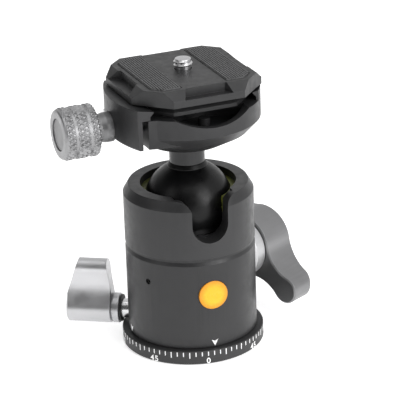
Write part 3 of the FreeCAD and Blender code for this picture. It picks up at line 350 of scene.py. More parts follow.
def level(azimuth: float) -> tuple[float, float, float]:
    """The level direction at an azimuth in degrees."""
    return (math.cos(math.radians(azimuth)), math.sin(math.radians(azimuth)), 0.0)


HEAD_TURN = 2.7
MAIN_AZIMUTH = 30.0
MAIN_Z = 23.7
PAN_AZIMUTH = 150.0
PAN_Z = 8.8
CLAMP_AXIS = level(180.0 + HEAD_TURN)
CLAMP_Z = 80.45
BADGE_FRONT = 22.2
BADGE_Z = 23.9

HOUSING_FINISH = Finish(
    "housing_anodised", (0.027, 0.027, 0.028), 0.35, 0.4, Grain.BLASTED, 0.12, 0.006, 0.05
)
CLAMP_FINISH = Finish(
    "clamp_anodised", (0.021, 0.021, 0.022), 0.35, 0.42, Grain.BLASTED, 0.12, 0.006, 0.05
)
PLATE_FINISH = Finish(
    "plate_anodised", (0.028, 0.028, 0.029), 0.35, 0.45, Grain.BLASTED, 0.12, 0.006, 0.05
)
DIAL_FINISH = Finish(
    "dial_anodised", (0.036, 0.036, 0.037), 0.3, 0.46, Grain.TURNED, 0.1, 0.004, 0.05
)
BALL_FINISH = Finish(
    "ball_black", (0.0035, 0.0035, 0.0037), 0.0, 0.34, Grain.BLASTED, 0.08, 0.003, 0.08,
    specular=0.25, wear=0.0,
)
STEM_FINISH = Finish(
    "stem_anodised", (0.021, 0.021, 0.022), 0.35, 0.34, Grain.TURNED, 0.1, 0.004, 0.06
)
STEEL_FINISH = Finish(
    "turned_steel", (0.55, 0.55, 0.56), 1.0, 0.3, Grain.TURNED, 0.1, 0.004, 0.06
)
SHAFT_FINISH = Finish(
    "pan_shaft_steel", (0.62, 0.62, 0.63), 1.0, 0.25, Grain.TURNED, 0.1, 0.004, 0.06,
    turn_axis=level(PAN_AZIMUTH), turn_origin=(0.0, 0.0, PAN_Z * MM),
)
MAIN_KNOB_FINISH = Finish(
    "main_knob_anodised", (0.21, 0.21, 0.214), 0.8, 0.36, Grain.BLASTED, 0.1, 0.005, 0.05
)
MAIN_COLLAR_FINISH = Finish(
    "main_collar_anodised", (0.5, 0.5, 0.51), 0.7, 0.42, Grain.TURNED, 0.1, 0.005, 0.05,
    turn_axis=level(MAIN_AZIMUTH), turn_origin=(0.0, 0.0, MAIN_Z * MM),
)
PAN_KNOB_FINISH = Finish(
    "pan_knob_silver", (0.48, 0.48, 0.49), 0.9, 0.36, Grain.BLASTED, 0.1, 0.005, 0.04
)
CLAMP_KNOB_FINISH = Finish(
    "clamp_knob_grey", (0.29, 0.29, 0.295), 0.8, 0.36, Grain.BLASTED, 0.1, 0.003, 0.04,
    edge_round=0.06,
)
CAP_FINISH = Finish(
    "clamp_cap_grey", (0.2, 0.2, 0.203), 0.5, 0.42, Grain.BLASTED, 0.15, 0.006, 0.06
)
CLAMP_COLLAR_FINISH = Finish(
    "clamp_collar_grey", (0.2, 0.2, 0.203), 0.8, 0.4, Grain.TURNED, 0.1, 0.004, 0.05,
    turn_axis=CLAMP_AXIS, turn_origin=(0.0, 0.0, CLAMP_Z * MM),
)
BRASS_FINISH = Finish(
    "brass", (0.6, 0.42, 0.16), 1.0, 0.35, Grain.TURNED, 0.1, 0.004, 0.06
)
SEAT_FINISH = Finish(
    "seat_plastic", (0.2, 0.22, 0.03), 0.0, 0.45, Grain.MOULDED, 0.4, 0.01, 0.08, wear=0.0
)
WASHER_FINISH = Finish(
    "slip_washer", (0.02, 0.02, 0.02), 0.0, 0.5, Grain.MOULDED, 0.4, 0.01, 0.08, wear=0.0
)
# The badge's orange rim is painted shade, where its dome turns away from the light.
BADGE_FINISH = Finish(
    "badge_amber", (0.92, 0.53, 0.02), 0.0, 0.3, Grain.MOULDED, 2.5, 0.004, 0.04,
    specular=0.3, coat=0.25, wear=0.0,
    rim_centre=(0.0, -BADGE_FRONT * MM, BADGE_Z * MM), rim_radius=5.1,
    rim_colour=(0.75, 0.28, 0.01),
)
RUBBER_FINISH = Finish(
    "pad_rubber", (0.125, 0.125, 0.127), 0.0, 0.62, Grain.MOULDED, 0.3, 0.02, 0.12,
    specular=0.3, wear=0.0,
)
RING_FINISH = Finish(
    "dark_ring", (0.01, 0.01, 0.01), 0.0, 0.5, Grain.MOULDED, 0.3, 0.01, 0.1, wear=0.0
)
# The white print glows a little, painted light that makes it brighter than its lit surroundings.
PRINT_FINISH = Finish(
    "white_print", (0.95, 0.95, 0.95), 0.0, 0.55, Grain.MOULDED, 0.2, 0.004, 0.05,
    wear=0.0, glow=0.2,
)

NODE_FINISHES: dict[str, Finish] = {
    "dial_base": DIAL_FINISH,
    "tripod_bush": STEEL_FINISH,
    "pan_spindle": STEEL_FINISH,
    "pan_washer": WASHER_FINISH,
    "base_screws": STEEL_FINISH,
    "lower_housing": HOUSING_FINISH,
    "upper_housing": HOUSING_FINISH,
    "seat_ring": SEAT_FINISH,
    "ball_cup": STEEL_FINISH,
    "badge": BADGE_FINISH,
    "stop_screw": RING_FINISH,
    "main_screw": STEEL_FINISH,
    "main_collar": MAIN_COLLAR_FINISH,
    "main_knob": MAIN_KNOB_FINISH,
    "lock_plunger": BRASS_FINISH,
    "pan_shaft": SHAFT_FINISH,
    "pan_shoe": BRASS_FINISH,
    "pan_ring": RING_FINISH,
    "pan_collar": PAN_KNOB_FINISH,
    "pan_knob": PAN_KNOB_FINISH,
    "ball": BALL_FINISH,
    "stem_ring": BALL_FINISH,
    "stem": STEM_FINISH,
    "clamp_bolt": STEEL_FINISH,
    "clamp_body": CLAMP_FINISH,
    "stop_pin": CLAMP_FINISH,
    "moving_jaw": CLAMP_FINISH,
    "guide_pins": STEEL_FINISH,
    "clamp_screw": STEEL_FINISH,
    "clamp_collar": CLAMP_COLLAR_FINISH,
    "clamp_knob": CLAMP_KNOB_FINISH,
    "clamp_cap": CAP_FINISH,
    "plate": PLATE_FINISH,
    "pad_left": RUBBER_FINISH,
    "pad_right": RUBBER_FINISH,
    "camera_screw": STEEL_FINISH,
}


class Workshop:
    """Shared steps for modelling, placing and finishing a piece."""

    def __init__(self) -> None:
        """Starts with no materials made."""
        self.materials: dict[str, bpy.types.Material] = {}

    def material(self, finish: Finish) -> bpy.types.Material:
        """Gives the material of a finish, made once.

        Args:
            finish: the finish.

        Returns:
            Its material.
        """
        if finish.name not in self.materials:
            self.materials[finish.name] = finish.material()
        return self.materials[finish.name]

    @staticmethod
    def clear_selection() -> None:
        """Deselects every object."""
        if bpy.context.object and bpy.context.object.mode != "OBJECT":
            bpy.ops.object.mode_set(mode="OBJECT")
        bpy.ops.object.select_all(action="DESELECT")

    @staticmethod
    def choose(piece: bpy.types.Object) -> None:
        """Selects one object and makes it the active one."""
        Workshop.clear_selection()
        piece.select_set(True)
        bpy.context.view_layer.objects.active = piece

    @staticmethod
    def select_faces(piece: bpy.types.Object, test: Callable[[Vector, Vector], bool]) -> None:
        """Enters edit mode with the faces that pass a test selected.

        Args:
            piece: the object to edit.
            test: takes a face's centre and normal and says whether it is wanted.
        """
        Workshop.choose(piece)
        bpy.ops.object.mode_set(mode="EDIT")
        bpy.ops.mesh.select_mode(type="FACE")
        bpy.ops.mesh.select_all(action="DESELECT")
        mesh = bmesh.from_edit_mesh(piece.data)
        for face in mesh.faces:
            face.select_set(bool(test(face.calc_center_median(), face.normal)))
        bmesh.update_edit_mesh(piece.data)

    @staticmethod
    def select_edges(piece: bpy.types.Object, test: Callable[[Vector, Vector], bool]) -> None:
        """Enters edit mode with the edges that pass a test selected.

        Args:
            piece: the object to edit.
            test: takes an edge's two ends and says whether it is wanted.
        """
        Workshop.choose(piece)
        bpy.ops.object.mode_set(mode="EDIT")
        bpy.ops.mesh.select_mode(type="EDGE")
        bpy.ops.mesh.select_all(action="DESELECT")
        mesh = bmesh.from_edit_mesh(piece.data)
        for edge in mesh.edges:
            edge.select_set(bool(test(edge.verts[0].co, edge.verts[1].co)))
        bmesh.update_edit_mesh(piece.data)

    @staticmethod
    def leave_edit() -> None:
        """Goes back to object mode."""
        bpy.ops.object.mode_set(mode="OBJECT")

    @staticmethod
    def join(pieces: list[bpy.types.Object]) -> bpy.types.Object:
        """Joins several objects into the first of them.

        Args:
            pieces: the objects.

        Returns:
            The joined object.
        """
        Workshop.clear_selection()
        for piece in pieces:
            piece.select_set(True)
        bpy.context.view_layer.objects.active = pieces[0]
        bpy.ops.object.join()
        return pieces[0]

    @staticmethod
    def copy(piece: bpy.types.Object, matrix: Matrix) -> bpy.types.Object:
        """Copies an object with its own mesh and moves the copy's mesh.

        Args:
            piece: the object to copy.
            matrix: the move from the object's place to the copy's.

        Returns:
            The copy.
        """
        twin = piece.copy()
        twin.data = piece.data.copy()
        twin.data.transform(matrix)
        bpy.context.collection.objects.link(twin)
        return twin

    @staticmethod
    def bevel(piece: bpy.types.Object, width: float, segments: int, angle: float = 30.0) -> None:
        """Rounds a piece's edges.

        Args:
            piece: the object.
            width: the bevel's width in millimetres.
            segments: the number of steps in the rounding.
            angle: the smallest turn that is rounded, in degrees.
        """
        Workshop.choose(piece)
        modifier = piece.modifiers.new("edges", "BEVEL")
        modifier.width = width * MM
        modifier.segments = segments
        modifier.limit_method = "ANGLE"
        modifier.angle_limit = math.radians(angle)
        modifier.harden_normals = False
        bpy.ops.object.modifier_apply(modifier="edges")

    @staticmethod
    def settle(piece: bpy.types.Object, matrix: Matrix | None = None) -> None:
        """Puts a piece's place into its mesh, so that its object sits at the origin.

        Args:
            piece: the object.
            matrix: a last move, in the row's frame.
        """
        Workshop.choose(piece)
        bpy.ops.object.transform_apply(location=True, rotation=True, scale=True)
        if matrix is not None:
            piece.data.transform(matrix)
        piece.data.update()

    def finish(
        self,
        piece: bpy.types.Object,
        name: str,
        finish: Finish,
        body: str,
        slot: str,
        replaced: tuple[str, ...] = (),
        smooth: float = 35.0,
    ) -> bpy.types.Object:
        """Names and dresses a piece, and fixes it to its body.

        Args:
            piece: the object.
            name: its name.
            finish: its finish.
            body: the body that it rides on.
            slot: the record's material slot; not used.
            replaced: the nodes that it stands for.
            smooth: the angle up to which its faces are smooth.

        Returns:
            The piece.
        """
        self.choose(piece)
        piece.name = name
        piece.data.name = name
        bpy.ops.object.shade_smooth_by_angle(angle=math.radians(smooth))
        piece.data.materials.clear()
        piece.data.materials.append(self.material(finish))
        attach(piece, body)
        if replaced:
            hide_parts(*replaced)
        LOG.info("%s rides on %s with %d faces", name, body, len(piece.data.polygons))
        return piece


def axis_matrix(direction: tuple[float, float, float], origin: tuple[float, float, float]) -> Matrix:
    """The move that lays a piece built along +Z out along a level direction.

    Args:
        direction: the level direction.
        origin: where the piece's origin goes, in metres.

    Returns:
        The move, with the piece's +X turned to point down.
    """
    forward = Vector(direction).normalized()
    side = Vector((0.0, 0.0, 1.0)).cross(forward)
    down = Vector((0.0, 0.0, -1.0))
    turn = Matrix((down, side, forward)).transposed().to_4x4()
    return Matrix.Translation(Vector(origin)) @ turn


@dataclass
class Dial:
    """The degree scale on the rim of the dial base."""

    workshop: Workshop
    radius: float = 24.2
    top: float = 4.5
    long_end: float = 2.35
    short_end: float = 2.95
    tick_width: float = 0.34
    tick_depth: float = 0.03
    step: float = 5.0
    long_step: float = 15.0
    zero_azimuth: float = -97.5
    figure_height: float = 2.1
    figure_low: float = 0.25
    figure_step: int = 45
    figure_pitch: float = 1.7
    figure_stroke: float = 0.05
    text_scale: float = 1.38
    tick_edge: float = 0.02

    def tick(self, low: float, azimuth: float) -> bpy.types.Object:
        """Makes one printed tick on the rim.

        Args:
            low: the height of its lower end.
            azimuth: where it stands, in degrees.

        Returns:
            The tick.
        """
        self.workshop.clear_selection()
        height = self.top - low
        bpy.ops.mesh.primitive_cube_add(size=1.0)
        tick = bpy.context.object
        tick.scale = (2 * self.tick_depth * MM, self.tick_width * MM, height * MM)
        tick.location = (self.radius * MM, 0.0, (low + height / 2) * MM)
        self.workshop.settle(tick)
        self.workshop.bevel(tick, self.tick_edge, 1)
        tick.data.transform(Matrix.Rotation(math.radians(azimuth), 4, "Z"))
        return tick

    def ticks(self) -> None:
        """Makes the whole ring of ticks."""
        long_tick = self.tick(self.long_end, self.zero_azimuth)
        short_tick = self.tick(self.short_end, self.zero_azimuth)
        pieces = [short_tick]
        count = round(360 / self.step)
        for index in range(1, count):
            angle = index * self.step
            if angle % self.long_step == 0 and angle % self.figure_step != 0:
                turn = Matrix.Rotation(math.radians(angle), 4, "Z")
                pieces.append(self.workshop.copy(long_tick, turn))
            else:
                turn = Matrix.Rotation(math.radians(angle), 4, "Z")
                pieces.append(self.workshop.copy(short_tick, turn))
        bpy.data.objects.remove(long_tick)
        ring = self.workshop.join(pieces)
        self.workshop.settle(ring)
        self.workshop.finish(ring, "dial_ticks", PRINT_FINISH, "base", "dial_black")

    def figure(self, text: str, azimuth: float) -> list[bpy.types.Object]:
        """Makes one number of the scale, each digit flat on the rim.

        Args:
            text: the number.
            azimuth: the middle of the number, in degrees.

        Returns:
            The digits.
        """
        digits = []
        for index, character in enumerate(text):
            self.workshop.clear_selection()
            bpy.ops.object.text_add()
            digit = bpy.context.object
            digit.data.body = character
            digit.data.size = self.figure_height * self.text_scale * MM
            digit.data.align_x = "CENTER"
            digit.data.extrude = self.tick_depth * MM
            digit.data.offset = self.figure_stroke * MM
            digit.data.resolution_u = 3
            bpy.ops.object.convert(target="MESH")
            digit = bpy.context.object
            along = (index - (len(text) - 1) / 2) * self.figure_pitch
            angle = math.radians(azimuth) + along / self.radius
            stand = Matrix.Rotation(math.radians(90), 4, "Z") @ Matrix.Rotation(
                math.radians(90), 4, "X"
            )
            digit.data.transform(stand)
            digit.data.transform(Matrix.Translation((self.radius * MM, 0, self.figure_low * MM)))
            digit.data.transform(Matrix.Rotation(angle, 4, "Z"))
            digits.append(digit)
        return digits

    def figures(self) -> None:
        """Makes the numbers all round the scale."""
        digits: list[bpy.types.Object] = []
        for offset in range(-180 + self.figure_step, 181, self.figure_step):
            digits += self.figure(str(abs(offset)), self.zero_azimuth + offset)
        numbers = self.workshop.join(digits)
        self.workshop.settle(numbers)
        self.workshop.finish(numbers, "dial_numbers", PRINT_FINISH, "base", "dial_black")

    def build(self) -> None:
        """Makes the ticks and the numbers."""
        self.ticks()
        self.figures()


@dataclass
class IndexMarks:
    """The white arrows at the foot of the housing."""

    workshop: Workshop
    radius: float = 22.0
    low: float = 5.3
    height: float = 2.3
    width: float = 2.3
    notch: float = 0.55
    depth: float = 0.04
    azimuths: tuple[float, ...] = (-90.0, 0.0, 90.0, 180.0)

    def arrow(self) -> bpy.types.Object:
        """Makes one arrowhead that points down, on the +X side.

        Returns:
            The arrow.
        """
        self.workshop.clear_selection()
        bpy.ops.mesh.primitive_circle_add(vertices=4, radius=1.0, fill_type="NGON")
        arrow = bpy.context.object
        half = self.width / 2 * MM
        top = (self.low + self.height) * MM
        places = [
            (0.0, top - self.notch * MM), (-half, top), (0.0, self.low * MM), (half, top),
        ]
        for vertex, (across, up) in zip(arrow.data.vertices, places):
            vertex.co = (0.0, across, up)
        self.workshop.choose(arrow)
        bpy.ops.object.mode_set(mode="EDIT")
        bpy.ops.mesh.select_all(action="SELECT")
        bpy.ops.mesh.extrude_region_move(
            TRANSFORM_OT_translate={"value": (2 * self.depth * MM, 0, 0)}
        )
        bpy.ops.mesh.select_all(action="SELECT")
        bpy.ops.mesh.normals_make_consistent(inside=False)
        bpy.ops.object.mode_set(mode="OBJECT")
        arrow.data.transform(Matrix.Translation(((self.radius - self.depth) * MM, 0, 0)))
        return arrow

    def build(self) -> None:
        """Makes the arrows all round."""
        first = self.arrow()
        pieces = []
        for azimuth in self.azimuths:
            turn = Matrix.Rotation(math.radians(azimuth), 4, "Z")
            pieces.append(self.workshop.copy(first, turn))
        bpy.data.objects.remove(first)
        arrows = self.workshop.join(pieces)
        self.workshop.settle(arrows)
        self.workshop.finish(arrows, "index_arrows", PRINT_FINISH, "housing", "anodised_dark")


@dataclass
class ClampKnob:
    """The knurled clamp knob, with two smooth grooves and a bevelled face ring."""

    workshop: Workshop
    start: float = 32.2
    length: float = 12.3
    radius: float = 8.8
    edge: float = 0.9
    stud_height: float = 0.45
    bore: float = 5.4
    recess: float = 1.6
    across_v: float = -0.8
    height: float = CLAMP_Z
    columns: int = 31
    cut_end: float = 0.05
    top_share: float = 0.34
    stud_seat: float = 0.03
    fine_edge: float = 0.08
    rim_margin: float = 0.2
    bands: tuple[tuple[float, float, float], ...] = (
        (0.2, 2.8, 1.35), (3.7, 7.7, 1.6), (8.6, 11.3, 1.35),
    )
    segments: int = 93

    def core(self) -> bpy.types.Object:
        """Makes the knob's body under the knurl.

        Returns:
            The body.
        """
        self.workshop.clear_selection()
        core_radius = self.radius - self.stud_height
        bpy.ops.mesh.primitive_cylinder_add(
            vertices=self.segments,
            radius=core_radius * MM,
            depth=self.length * MM,
            location=(0, 0, (self.start + self.length / 2) * MM),
            end_fill_type="NGON",
        )
        core = bpy.context.object
        self.workshop.settle(core)
        end = (self.start + self.length) * MM
        self.workshop.select_faces(core, lambda centre, normal: normal.z > 0.9)
        inset = (core_radius - self.bore) * MM
        bpy.ops.mesh.inset(thickness=inset)
        bpy.ops.mesh.extrude_region_move(
            TRANSFORM_OT_translate={"value": (0, 0, -self.recess * MM)}
        )
        self.workshop.leave_edit()
        low = self.start * MM
        rim = (core_radius - self.rim_margin) * MM

        def outer(first: Vector, second: Vector) -> bool:
            """Whether an edge lies on the outer rim of either end."""
            level_edge = abs(first.z - second.z) < 1e-6
            at_end = abs(first.z - end) < 1e-6 or abs(first.z - low) < 1e-6
            return level_edge and at_end and first.xy.length > rim

        self.workshop.select_edges(core, outer)
        bpy.ops.mesh.bevel(offset=self.edge * MM, segments=3, affect="EDGES")
        self.workshop.leave_edit()
        self.workshop.bevel(core, self.fine_edge, 2, 60.0)
        return core

    def stud(
        self, height: float, below: float, above: float, share: float = 1.0
    ) -> bpy.types.Object:
        """Makes one diamond of the knurl on the +X side.

        Args:
            height: the place of its peak along the knob.
            below: its length below the peak.
            above: its length above the peak.
            share: its width and height, as a share of a whole diamond's.

        Returns:
            The diamond.
        """
        self.workshop.clear_selection()
        bpy.ops.mesh.primitive_cone_add(
            vertices=4, radius1=1.0, radius2=self.top_share, depth=1.0, end_fill_type="NGON"
        )
        stud = bpy.context.object
        across = math.pi * self.radius / self.columns
        stud.data.transform(Matrix.Translation((0, 0, 0.5)))
        for vertex in stud.data.vertices:
            vertex.co.x *= (below if vertex.co.x > 0 else above) * MM
            vertex.co.y *= across * share * MM
            vertex.co.z *= self.stud_height * share * MM
        stud.data.transform(Matrix.Rotation(math.radians(90), 4, "Y"))
        base = (self.radius - self.stud_height - self.stud_seat) * MM
        stud.data.transform(Matrix.Translation((base, 0, height * MM)))
        return stud

    def knurl(self) -> bpy.types.Object:
        """Makes the three bands of staggered diamonds.

        Returns:
            The joined diamonds.
        """
        pieces: list[bpy.types.Object] = []
        turn_step = 2 * math.pi / self.columns
        for low, high, spacing in self.bands:
            margin = (high - low - spacing) / 2
            share = margin / spacing
            even = (
                self.stud(self.start + low + margin, margin, spacing),
                self.stud(self.start + high, margin, self.cut_end, share),
            )
            odd = (
                self.stud(self.start + high - margin, spacing, margin),
                self.stud(self.start + low, self.cut_end, margin, share),
            )
            for studs, offset in ((even, 0.0), (odd, 0.5)):
                for column in range(self.columns):
                    turn = Matrix.Rotation(turn_step * (column + offset), 4, "Z")
                    pieces += [self.workshop.copy(stud, turn) for stud in studs]
                for stud in studs:
                    bpy.data.objects.remove(stud)
        return self.workshop.join(pieces)

    def build(self) -> None:
        """Makes the knob and lays it along the clamp's axis."""
        knob = self.workshop.join([self.core(), self.knurl()])
        self.workshop.settle(knob)
        turn = Matrix.Rotation(math.radians(HEAD_TURN), 4, "Z")
        lay = axis_matrix((-1.0, 0.0, 0.0), (0.0, -self.across_v * MM, self.height * MM))
        knob.data.transform(turn @ lay)
        self.workshop.finish(
            knob, "clamp_knob_knurled", CLAMP_KNOB_FINISH, "jaw_knob", "knob_grey",
            ("clamp_knob",), 12.0,
        )


@dataclass
class CameraScrew:
    """The camera screw with its thread and its round head below the plate."""

    workshop: Workshop
    radius: float = 3.175
    pitch: float = 1.27
    low: float = 96.4
    top: float = 99.7
    core_radius: float = 2.66
    head_radius: float = 6.0
    head_low: float = 87.6
    head_height: float = 1.6
    tip_edge: float = 0.2
    head_edge: float = 0.3
    ridge_share: float = 0.4
    ridge_seat: float = 0.08
    ridge_gap: float = 0.1
    across_u: float = 0.23
    across_v: float = -1.23
    segments: int = 48

    def core(self) -> bpy.types.Object:
        """Makes the screw's shank with its head and rounded tip.

        Returns:
            The shank and head.
        """
        self.workshop.clear_selection()
        shank = self.top - self.head_low
        bpy.ops.mesh.primitive_cylinder_add(
            vertices=self.segments,
            radius=self.core_radius * MM,
            depth=shank * MM,
            location=(0, 0, (self.head_low + shank / 2) * MM),
        )
        core = bpy.context.object
        self.workshop.settle(core)
        self.workshop.bevel(core, self.tip_edge, 3, 60.0)
        self.workshop.clear_selection()
        bpy.ops.mesh.primitive_cylinder_add(
            vertices=self.segments,
            radius=self.head_radius * MM,
            depth=self.head_height * MM,
            location=(0, 0, (self.head_low + self.head_height / 2) * MM),
        )
        head = bpy.context.object
        self.workshop.settle(head)
        self.workshop.bevel(head, self.head_edge, 3, 60.0)
        return self.workshop.join([core, head])

    def thread(self) -> bpy.types.Object:
        """Makes the helical ridge by screwing a small triangle up the shank.

        Returns:
            The ridge.
        """
        self.workshop.clear_selection()
        bpy.ops.mesh.primitive_circle_add(vertices=3, radius=1.0, fill_type="NGON")
        ridge = bpy.context.object
        half = self.pitch * self.ridge_share
        inner = self.core_radius - self.ridge_seat
        places = [(inner, -half), (self.radius, 0.0), (inner, half)]
        for vertex, (across, up) in zip(ridge.data.vertices, places):
            vertex.co = (across * MM, 0.0, (self.low + half + up) * MM)
        self.workshop.choose(ridge)
        turns = (self.top - self.ridge_gap - self.low - 2 * half) / self.pitch
        screw = ridge.modifiers.new("helix", "SCREW")
        screw.axis = "Z"
        screw.angle = 2 * math.pi * turns
        screw.screw_offset = self.pitch * turns * MM
        screw.steps = round(self.segments * turns)
        screw.render_steps = screw.steps
        screw.use_normal_calculate = True
        bpy.ops.object.modifier_apply(modifier="helix")
        bpy.ops.object.mode_set(mode="EDIT")
        bpy.ops.mesh.select_all(action="SELECT")
        bpy.ops.mesh.remove_doubles(threshold=1e-6)
        bpy.ops.mesh.select_all(action="DESELECT")
        bpy.ops.mesh.select_non_manifold()
        bpy.ops.mesh.edge_face_add()
        bpy.ops.mesh.select_all(action="SELECT")
        bpy.ops.mesh.normals_make_consistent(inside=False)
        bpy.ops.object.mode_set(mode="OBJECT")
        return ridge

    def build(self) -> None:
        """Makes the screw and stands it in the plate."""
        screw = self.workshop.join([self.core(), self.thread()])
        self.workshop.settle(screw)
        turn = Matrix.Rotation(math.radians(HEAD_TURN), 4, "Z")
        place = Matrix.Translation((self.across_u * MM, -self.across_v * MM, 0))
        screw.data.transform(turn @ place)
        self.workshop.finish(
            screw, "camera_screw_threaded", STEEL_FINISH, "screw", "steel",
            ("camera_screw",), 40.0,
        )


@dataclass
class Pads:
    """The ribbed rubber pads on the plate, with their ribs broken into dashes."""

    workshop: Workshop
    inner: float = 7.7
    outer: float = 17.6
    half: float = 17.9
    corner: float = 3.4
    floor: float = 95.4
    top: float = 96.7
    centre_v: float = -0.76
    outline: float = 0.28
    rib_pitch: float = 0.84
    rib_width: float = 0.58
    rib_height: float = 0.35
    dash: float = 5.2
    dash_gap: float = 0.35
    shortest_dash: float = 0.3
    edge: float = 0.12
    rib_edge: float = 0.1
    rib_seat: float = 0.05
    rib_margin: float = 0.5
    end_margin: float = 0.6

    def pad(self) -> bpy.types.Object:
        """Makes the pad's body on the +U side.

        Returns:
            The body.
        """
        self.workshop.clear_selection()
        bpy.ops.mesh.primitive_circle_add(vertices=6, radius=1.0, fill_type="NGON")
        pad = bpy.context.object
        inner = self.inner + self.outline
        outer = self.outer - self.outline
        half = self.half - self.outline
        places = [
            (inner, -half), (outer - self.corner, -half), (outer, self.corner - half),
            (outer, half - self.corner), (outer - self.corner, half), (inner, half),
        ]
        for vertex, (across, along) in zip(pad.data.vertices, places):
            vertex.co = (across * MM, along * MM, self.floor * MM)
        self.workshop.choose(pad)
        bpy.ops.object.mode_set(mode="EDIT")
        bpy.ops.mesh.select_all(action="SELECT")
        height = self.top - self.rib_height - self.floor
        bpy.ops.mesh.extrude_region_move(TRANSFORM_OT_translate={"value": (0, 0, height * MM)})
        bpy.ops.mesh.select_all(action="SELECT")
        bpy.ops.mesh.normals_make_consistent(inside=False)
        bpy.ops.object.mode_set(mode="OBJECT")
        self.workshop.bevel(pad, self.edge, 2)
        return pad

    def rib(self, across: float, low: float, high: float) -> bpy.types.Object:
        """Makes one dash of a rib.

        Args:
            across: its place across the pad.
            low: its start along the pad.
            high: its end along the pad.

        Returns:
            The dash.
        """
        self.workshop.clear_selection()
        bpy.ops.mesh.primitive_cube_add(size=1.0)
        rib = bpy.context.object
        depth = self.rib_height + self.rib_seat
        rib.scale = (self.rib_width * MM, (high - low) * MM, depth * MM)
        middle = self.top - depth / 2
        rib.location = (across * MM, (low + high) / 2 * MM, middle * MM)
        self.workshop.settle(rib)
        self.workshop.bevel(rib, self.rib_edge, 1)
        return rib

    def ribs(self) -> list[bpy.types.Object]:
        """Makes all the dashes of one pad."""
        pieces = []
        count = int((self.outer - self.inner - self.rib_margin) / self.rib_pitch)
        margin = (self.outer - self.inner - (count - 1) * self.rib_pitch) / 2
        for index in range(count):
            across = self.inner + margin + index * self.rib_pitch
            cut = max(0.0, across - (self.outer - self.corner))
            reach = self.half - self.end_margin - cut
            low = -reach
            shift = self.dash * (0.5 if index % 2 else 0.0)
            high = -reach + self.dash - shift
            while low < reach - self.shortest_dash:
                pieces.append(self.rib(across, low, min(high, reach)))
                low = high + self.dash_gap
                high = low + self.dash
        return pieces

    def build(self) -> None:
        """Makes both pads."""
        turn = Matrix.Rotation(math.radians(HEAD_TURN), 4, "Z")
        place = turn @ Matrix.Translation((0, -self.centre_v * MM, 0))
        right = self.workshop.join([self.pad(), *self.ribs()])
        self.workshop.settle(right)
        left = self.workshop.copy(right, Matrix.Rotation(math.pi, 4, "Z"))
        right.data.transform(place)
        left.data.transform(place)
        self.workshop.finish(
            right, "pad_ribbed_right", RUBBER_FINISH, "plate_body", "rubber", ("pad_right",)
        )
        self.workshop.finish(
            left, "pad_ribbed_left", RUBBER_FINISH, "plate_body", "rubber", ("pad_left",)
        )


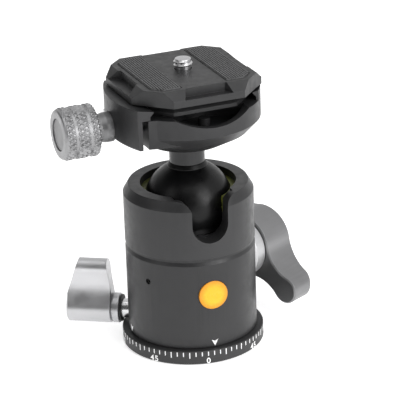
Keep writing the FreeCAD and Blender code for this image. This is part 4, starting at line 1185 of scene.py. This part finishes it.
@dataclass
class Studio:
    """The camera, the soft lights and the pale floor."""

    lens: float = 197.3
    camera_place: tuple[float, float, float] = (-0.2226, -0.6472, 0.3254)
    camera_target: tuple[float, float, float] = (0.00363, -0.00127, 0.04967)
    roll: float = -1.947
    floor_size: float = 6.0
    front_level: float = 0.1
    back_level: float = 0.8
    bright_turn: float = -45.0
    fade_start: float = -0.55
    fade_end: float = 0.45
    sensor: float = 36.0
    far_limit: float = 20.0
    aim_height: float = 0.05
    floor_drop: float = 0.0002
    floor_colour: float = 0.9
    floor_roughness: float = 0.8
    floor_glow: float = 0.6

    def camera(self) -> None:
        """Sets the camera at the photograph's viewpoint."""
        place = Vector(self.camera_place)
        back = (place - Vector(self.camera_target)).normalized()
        right = Vector((0, 0, 1)).cross(back).normalized()
        up = back.cross(right)
        angle = math.radians(self.roll)
        level_x = math.cos(angle) * right + math.sin(angle) * up
        level_y = -math.sin(angle) * right + math.cos(angle) * up
        turn = Matrix((level_x, level_y, back)).transposed().to_4x4()
        data = bpy.data.cameras.new("photo_camera")
        data.lens = self.lens
        data.sensor_width = self.sensor
        data.clip_end = self.far_limit
        camera = bpy.data.objects.new("photo_camera", data)
        bpy.context.collection.objects.link(camera)
        camera.matrix_world = Matrix.Translation(place) @ turn
        bpy.context.scene.camera = camera

    def soft_light(
        self, name: str, place: tuple[float, float, float], size: tuple[float, float], power: float
    ) -> None:
        """Adds a rectangular soft light that faces the head.

        Args:
            name: its name.
            place: its place in metres.
            size: its width and height in metres.
            power: its power in watts.
        """
        data = bpy.data.lights.new(name, "AREA")
        data.shape = "RECTANGLE"
        data.size = size[0]
        data.size_y = size[1]
        data.energy = power
        lamp = bpy.data.objects.new(name, data)
        bpy.context.collection.objects.link(lamp)
        lamp.location = place
        aim = Vector((0, 0, self.aim_height)) - Vector(place)
        lamp.rotation_euler = aim.to_track_quat("-Z", "Y").to_euler()

    def floor(self) -> None:
        """Adds the pale floor."""
        Workshop.clear_selection()
        bpy.ops.mesh.primitive_plane_add(size=self.floor_size, location=(0, 0, -self.floor_drop))
        floor = bpy.context.object
        floor.name = "floor"
        material = bpy.data.materials.new("floor_white")
        material.use_nodes = True
        shader = material.node_tree.nodes["Principled BSDF"]
        shader.inputs["Base Color"].default_value = (*(3 * [self.floor_colour]), 1.0)
        shader.inputs["Roughness"].default_value = self.floor_roughness
        shader.inputs["Emission Color"].default_value = (1.0, 1.0, 1.0, 1.0)
        shader.inputs["Emission Strength"].default_value = self.floor_glow
        floor.data.materials.append(material)

    def world(self) -> None:
        """Lights the scene from a white surround, brightest behind the head and to its right."""
        world = bpy.data.worlds.new("studio_world")
        bpy.context.scene.world = world
        world.use_nodes = True
        nodes = world.node_tree.nodes
        links = world.node_tree.links
        where = nodes.new("ShaderNodeTexCoord")
        facing = nodes.new("ShaderNodeVectorMath")
        facing.operation = "DOT_PRODUCT"
        ahead = Vector(self.camera_target) - Vector(self.camera_place)
        ahead.z = 0.0
        turn = Matrix.Rotation(math.radians(self.bright_turn), 3, "Z")
        facing.inputs[1].default_value = turn @ ahead.normalized()
        links.new(where.outputs["Generated"], facing.inputs[0])
        fade = nodes.new("ShaderNodeMapRange")
        fade.interpolation_type = "SMOOTHSTEP"
        fade.inputs["From Min"].default_value = self.fade_start
        fade.inputs["From Max"].default_value = self.fade_end
        fade.inputs["To Min"].default_value = self.front_level
        fade.inputs["To Max"].default_value = self.back_level
        links.new(facing.outputs["Value"], fade.inputs["Value"])
        links.new(fade.outputs["Result"], nodes["Background"].inputs["Strength"])
        nodes["Background"].inputs["Color"].default_value = (1.0, 1.0, 1.0, 1.0)

    def build(self) -> None:
        """Sets up the studio."""
        self.camera()
        self.world()
        self.soft_light("left_soft", (-0.8, -0.2, 0.4), (0.3, 0.9), 0.9)
        self.soft_light("right_soft", (0.4, -0.75, 0.4), (0.5, 0.6), 3.8)
        self.soft_light("top_soft", (0.0, -0.25, 0.95), (0.9, 0.9), 3.6)
        bpy.context.scene.view_settings.view_transform = "Standard"
        self.floor()


def dress_nodes(workshop: Workshop) -> None:
    """Gives every CAD node its finish.

    Args:
        workshop: the shared materials.
    """
    for name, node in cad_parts.items():
        finish = NODE_FINISHES[name]
        material = workshop.material(finish)
        if not node.material_slots:
            node.data.materials.append(material)
        for slot in node.material_slots:
            slot.material = material
        LOG.info("%s has the finish %s", name, finish.name)


def main() -> None:
    """Builds the studio, dresses the frame and adds the detailed pieces."""
    logging.basicConfig(level=logging.INFO, format="%(name)s: %(message)s")
    studio = Studio()
    studio.build()
    workshop = Workshop()
    dress_nodes(workshop)
    for assembly in (
        Dial(workshop),
        IndexMarks(workshop),
        ClampKnob(workshop),
        CameraScrew(workshop),
        Pads(workshop),
    ):
        assembly.build()
        LOG.info("%s is built", type(assembly).__name__)


if __name__ == "__main__":
    main()
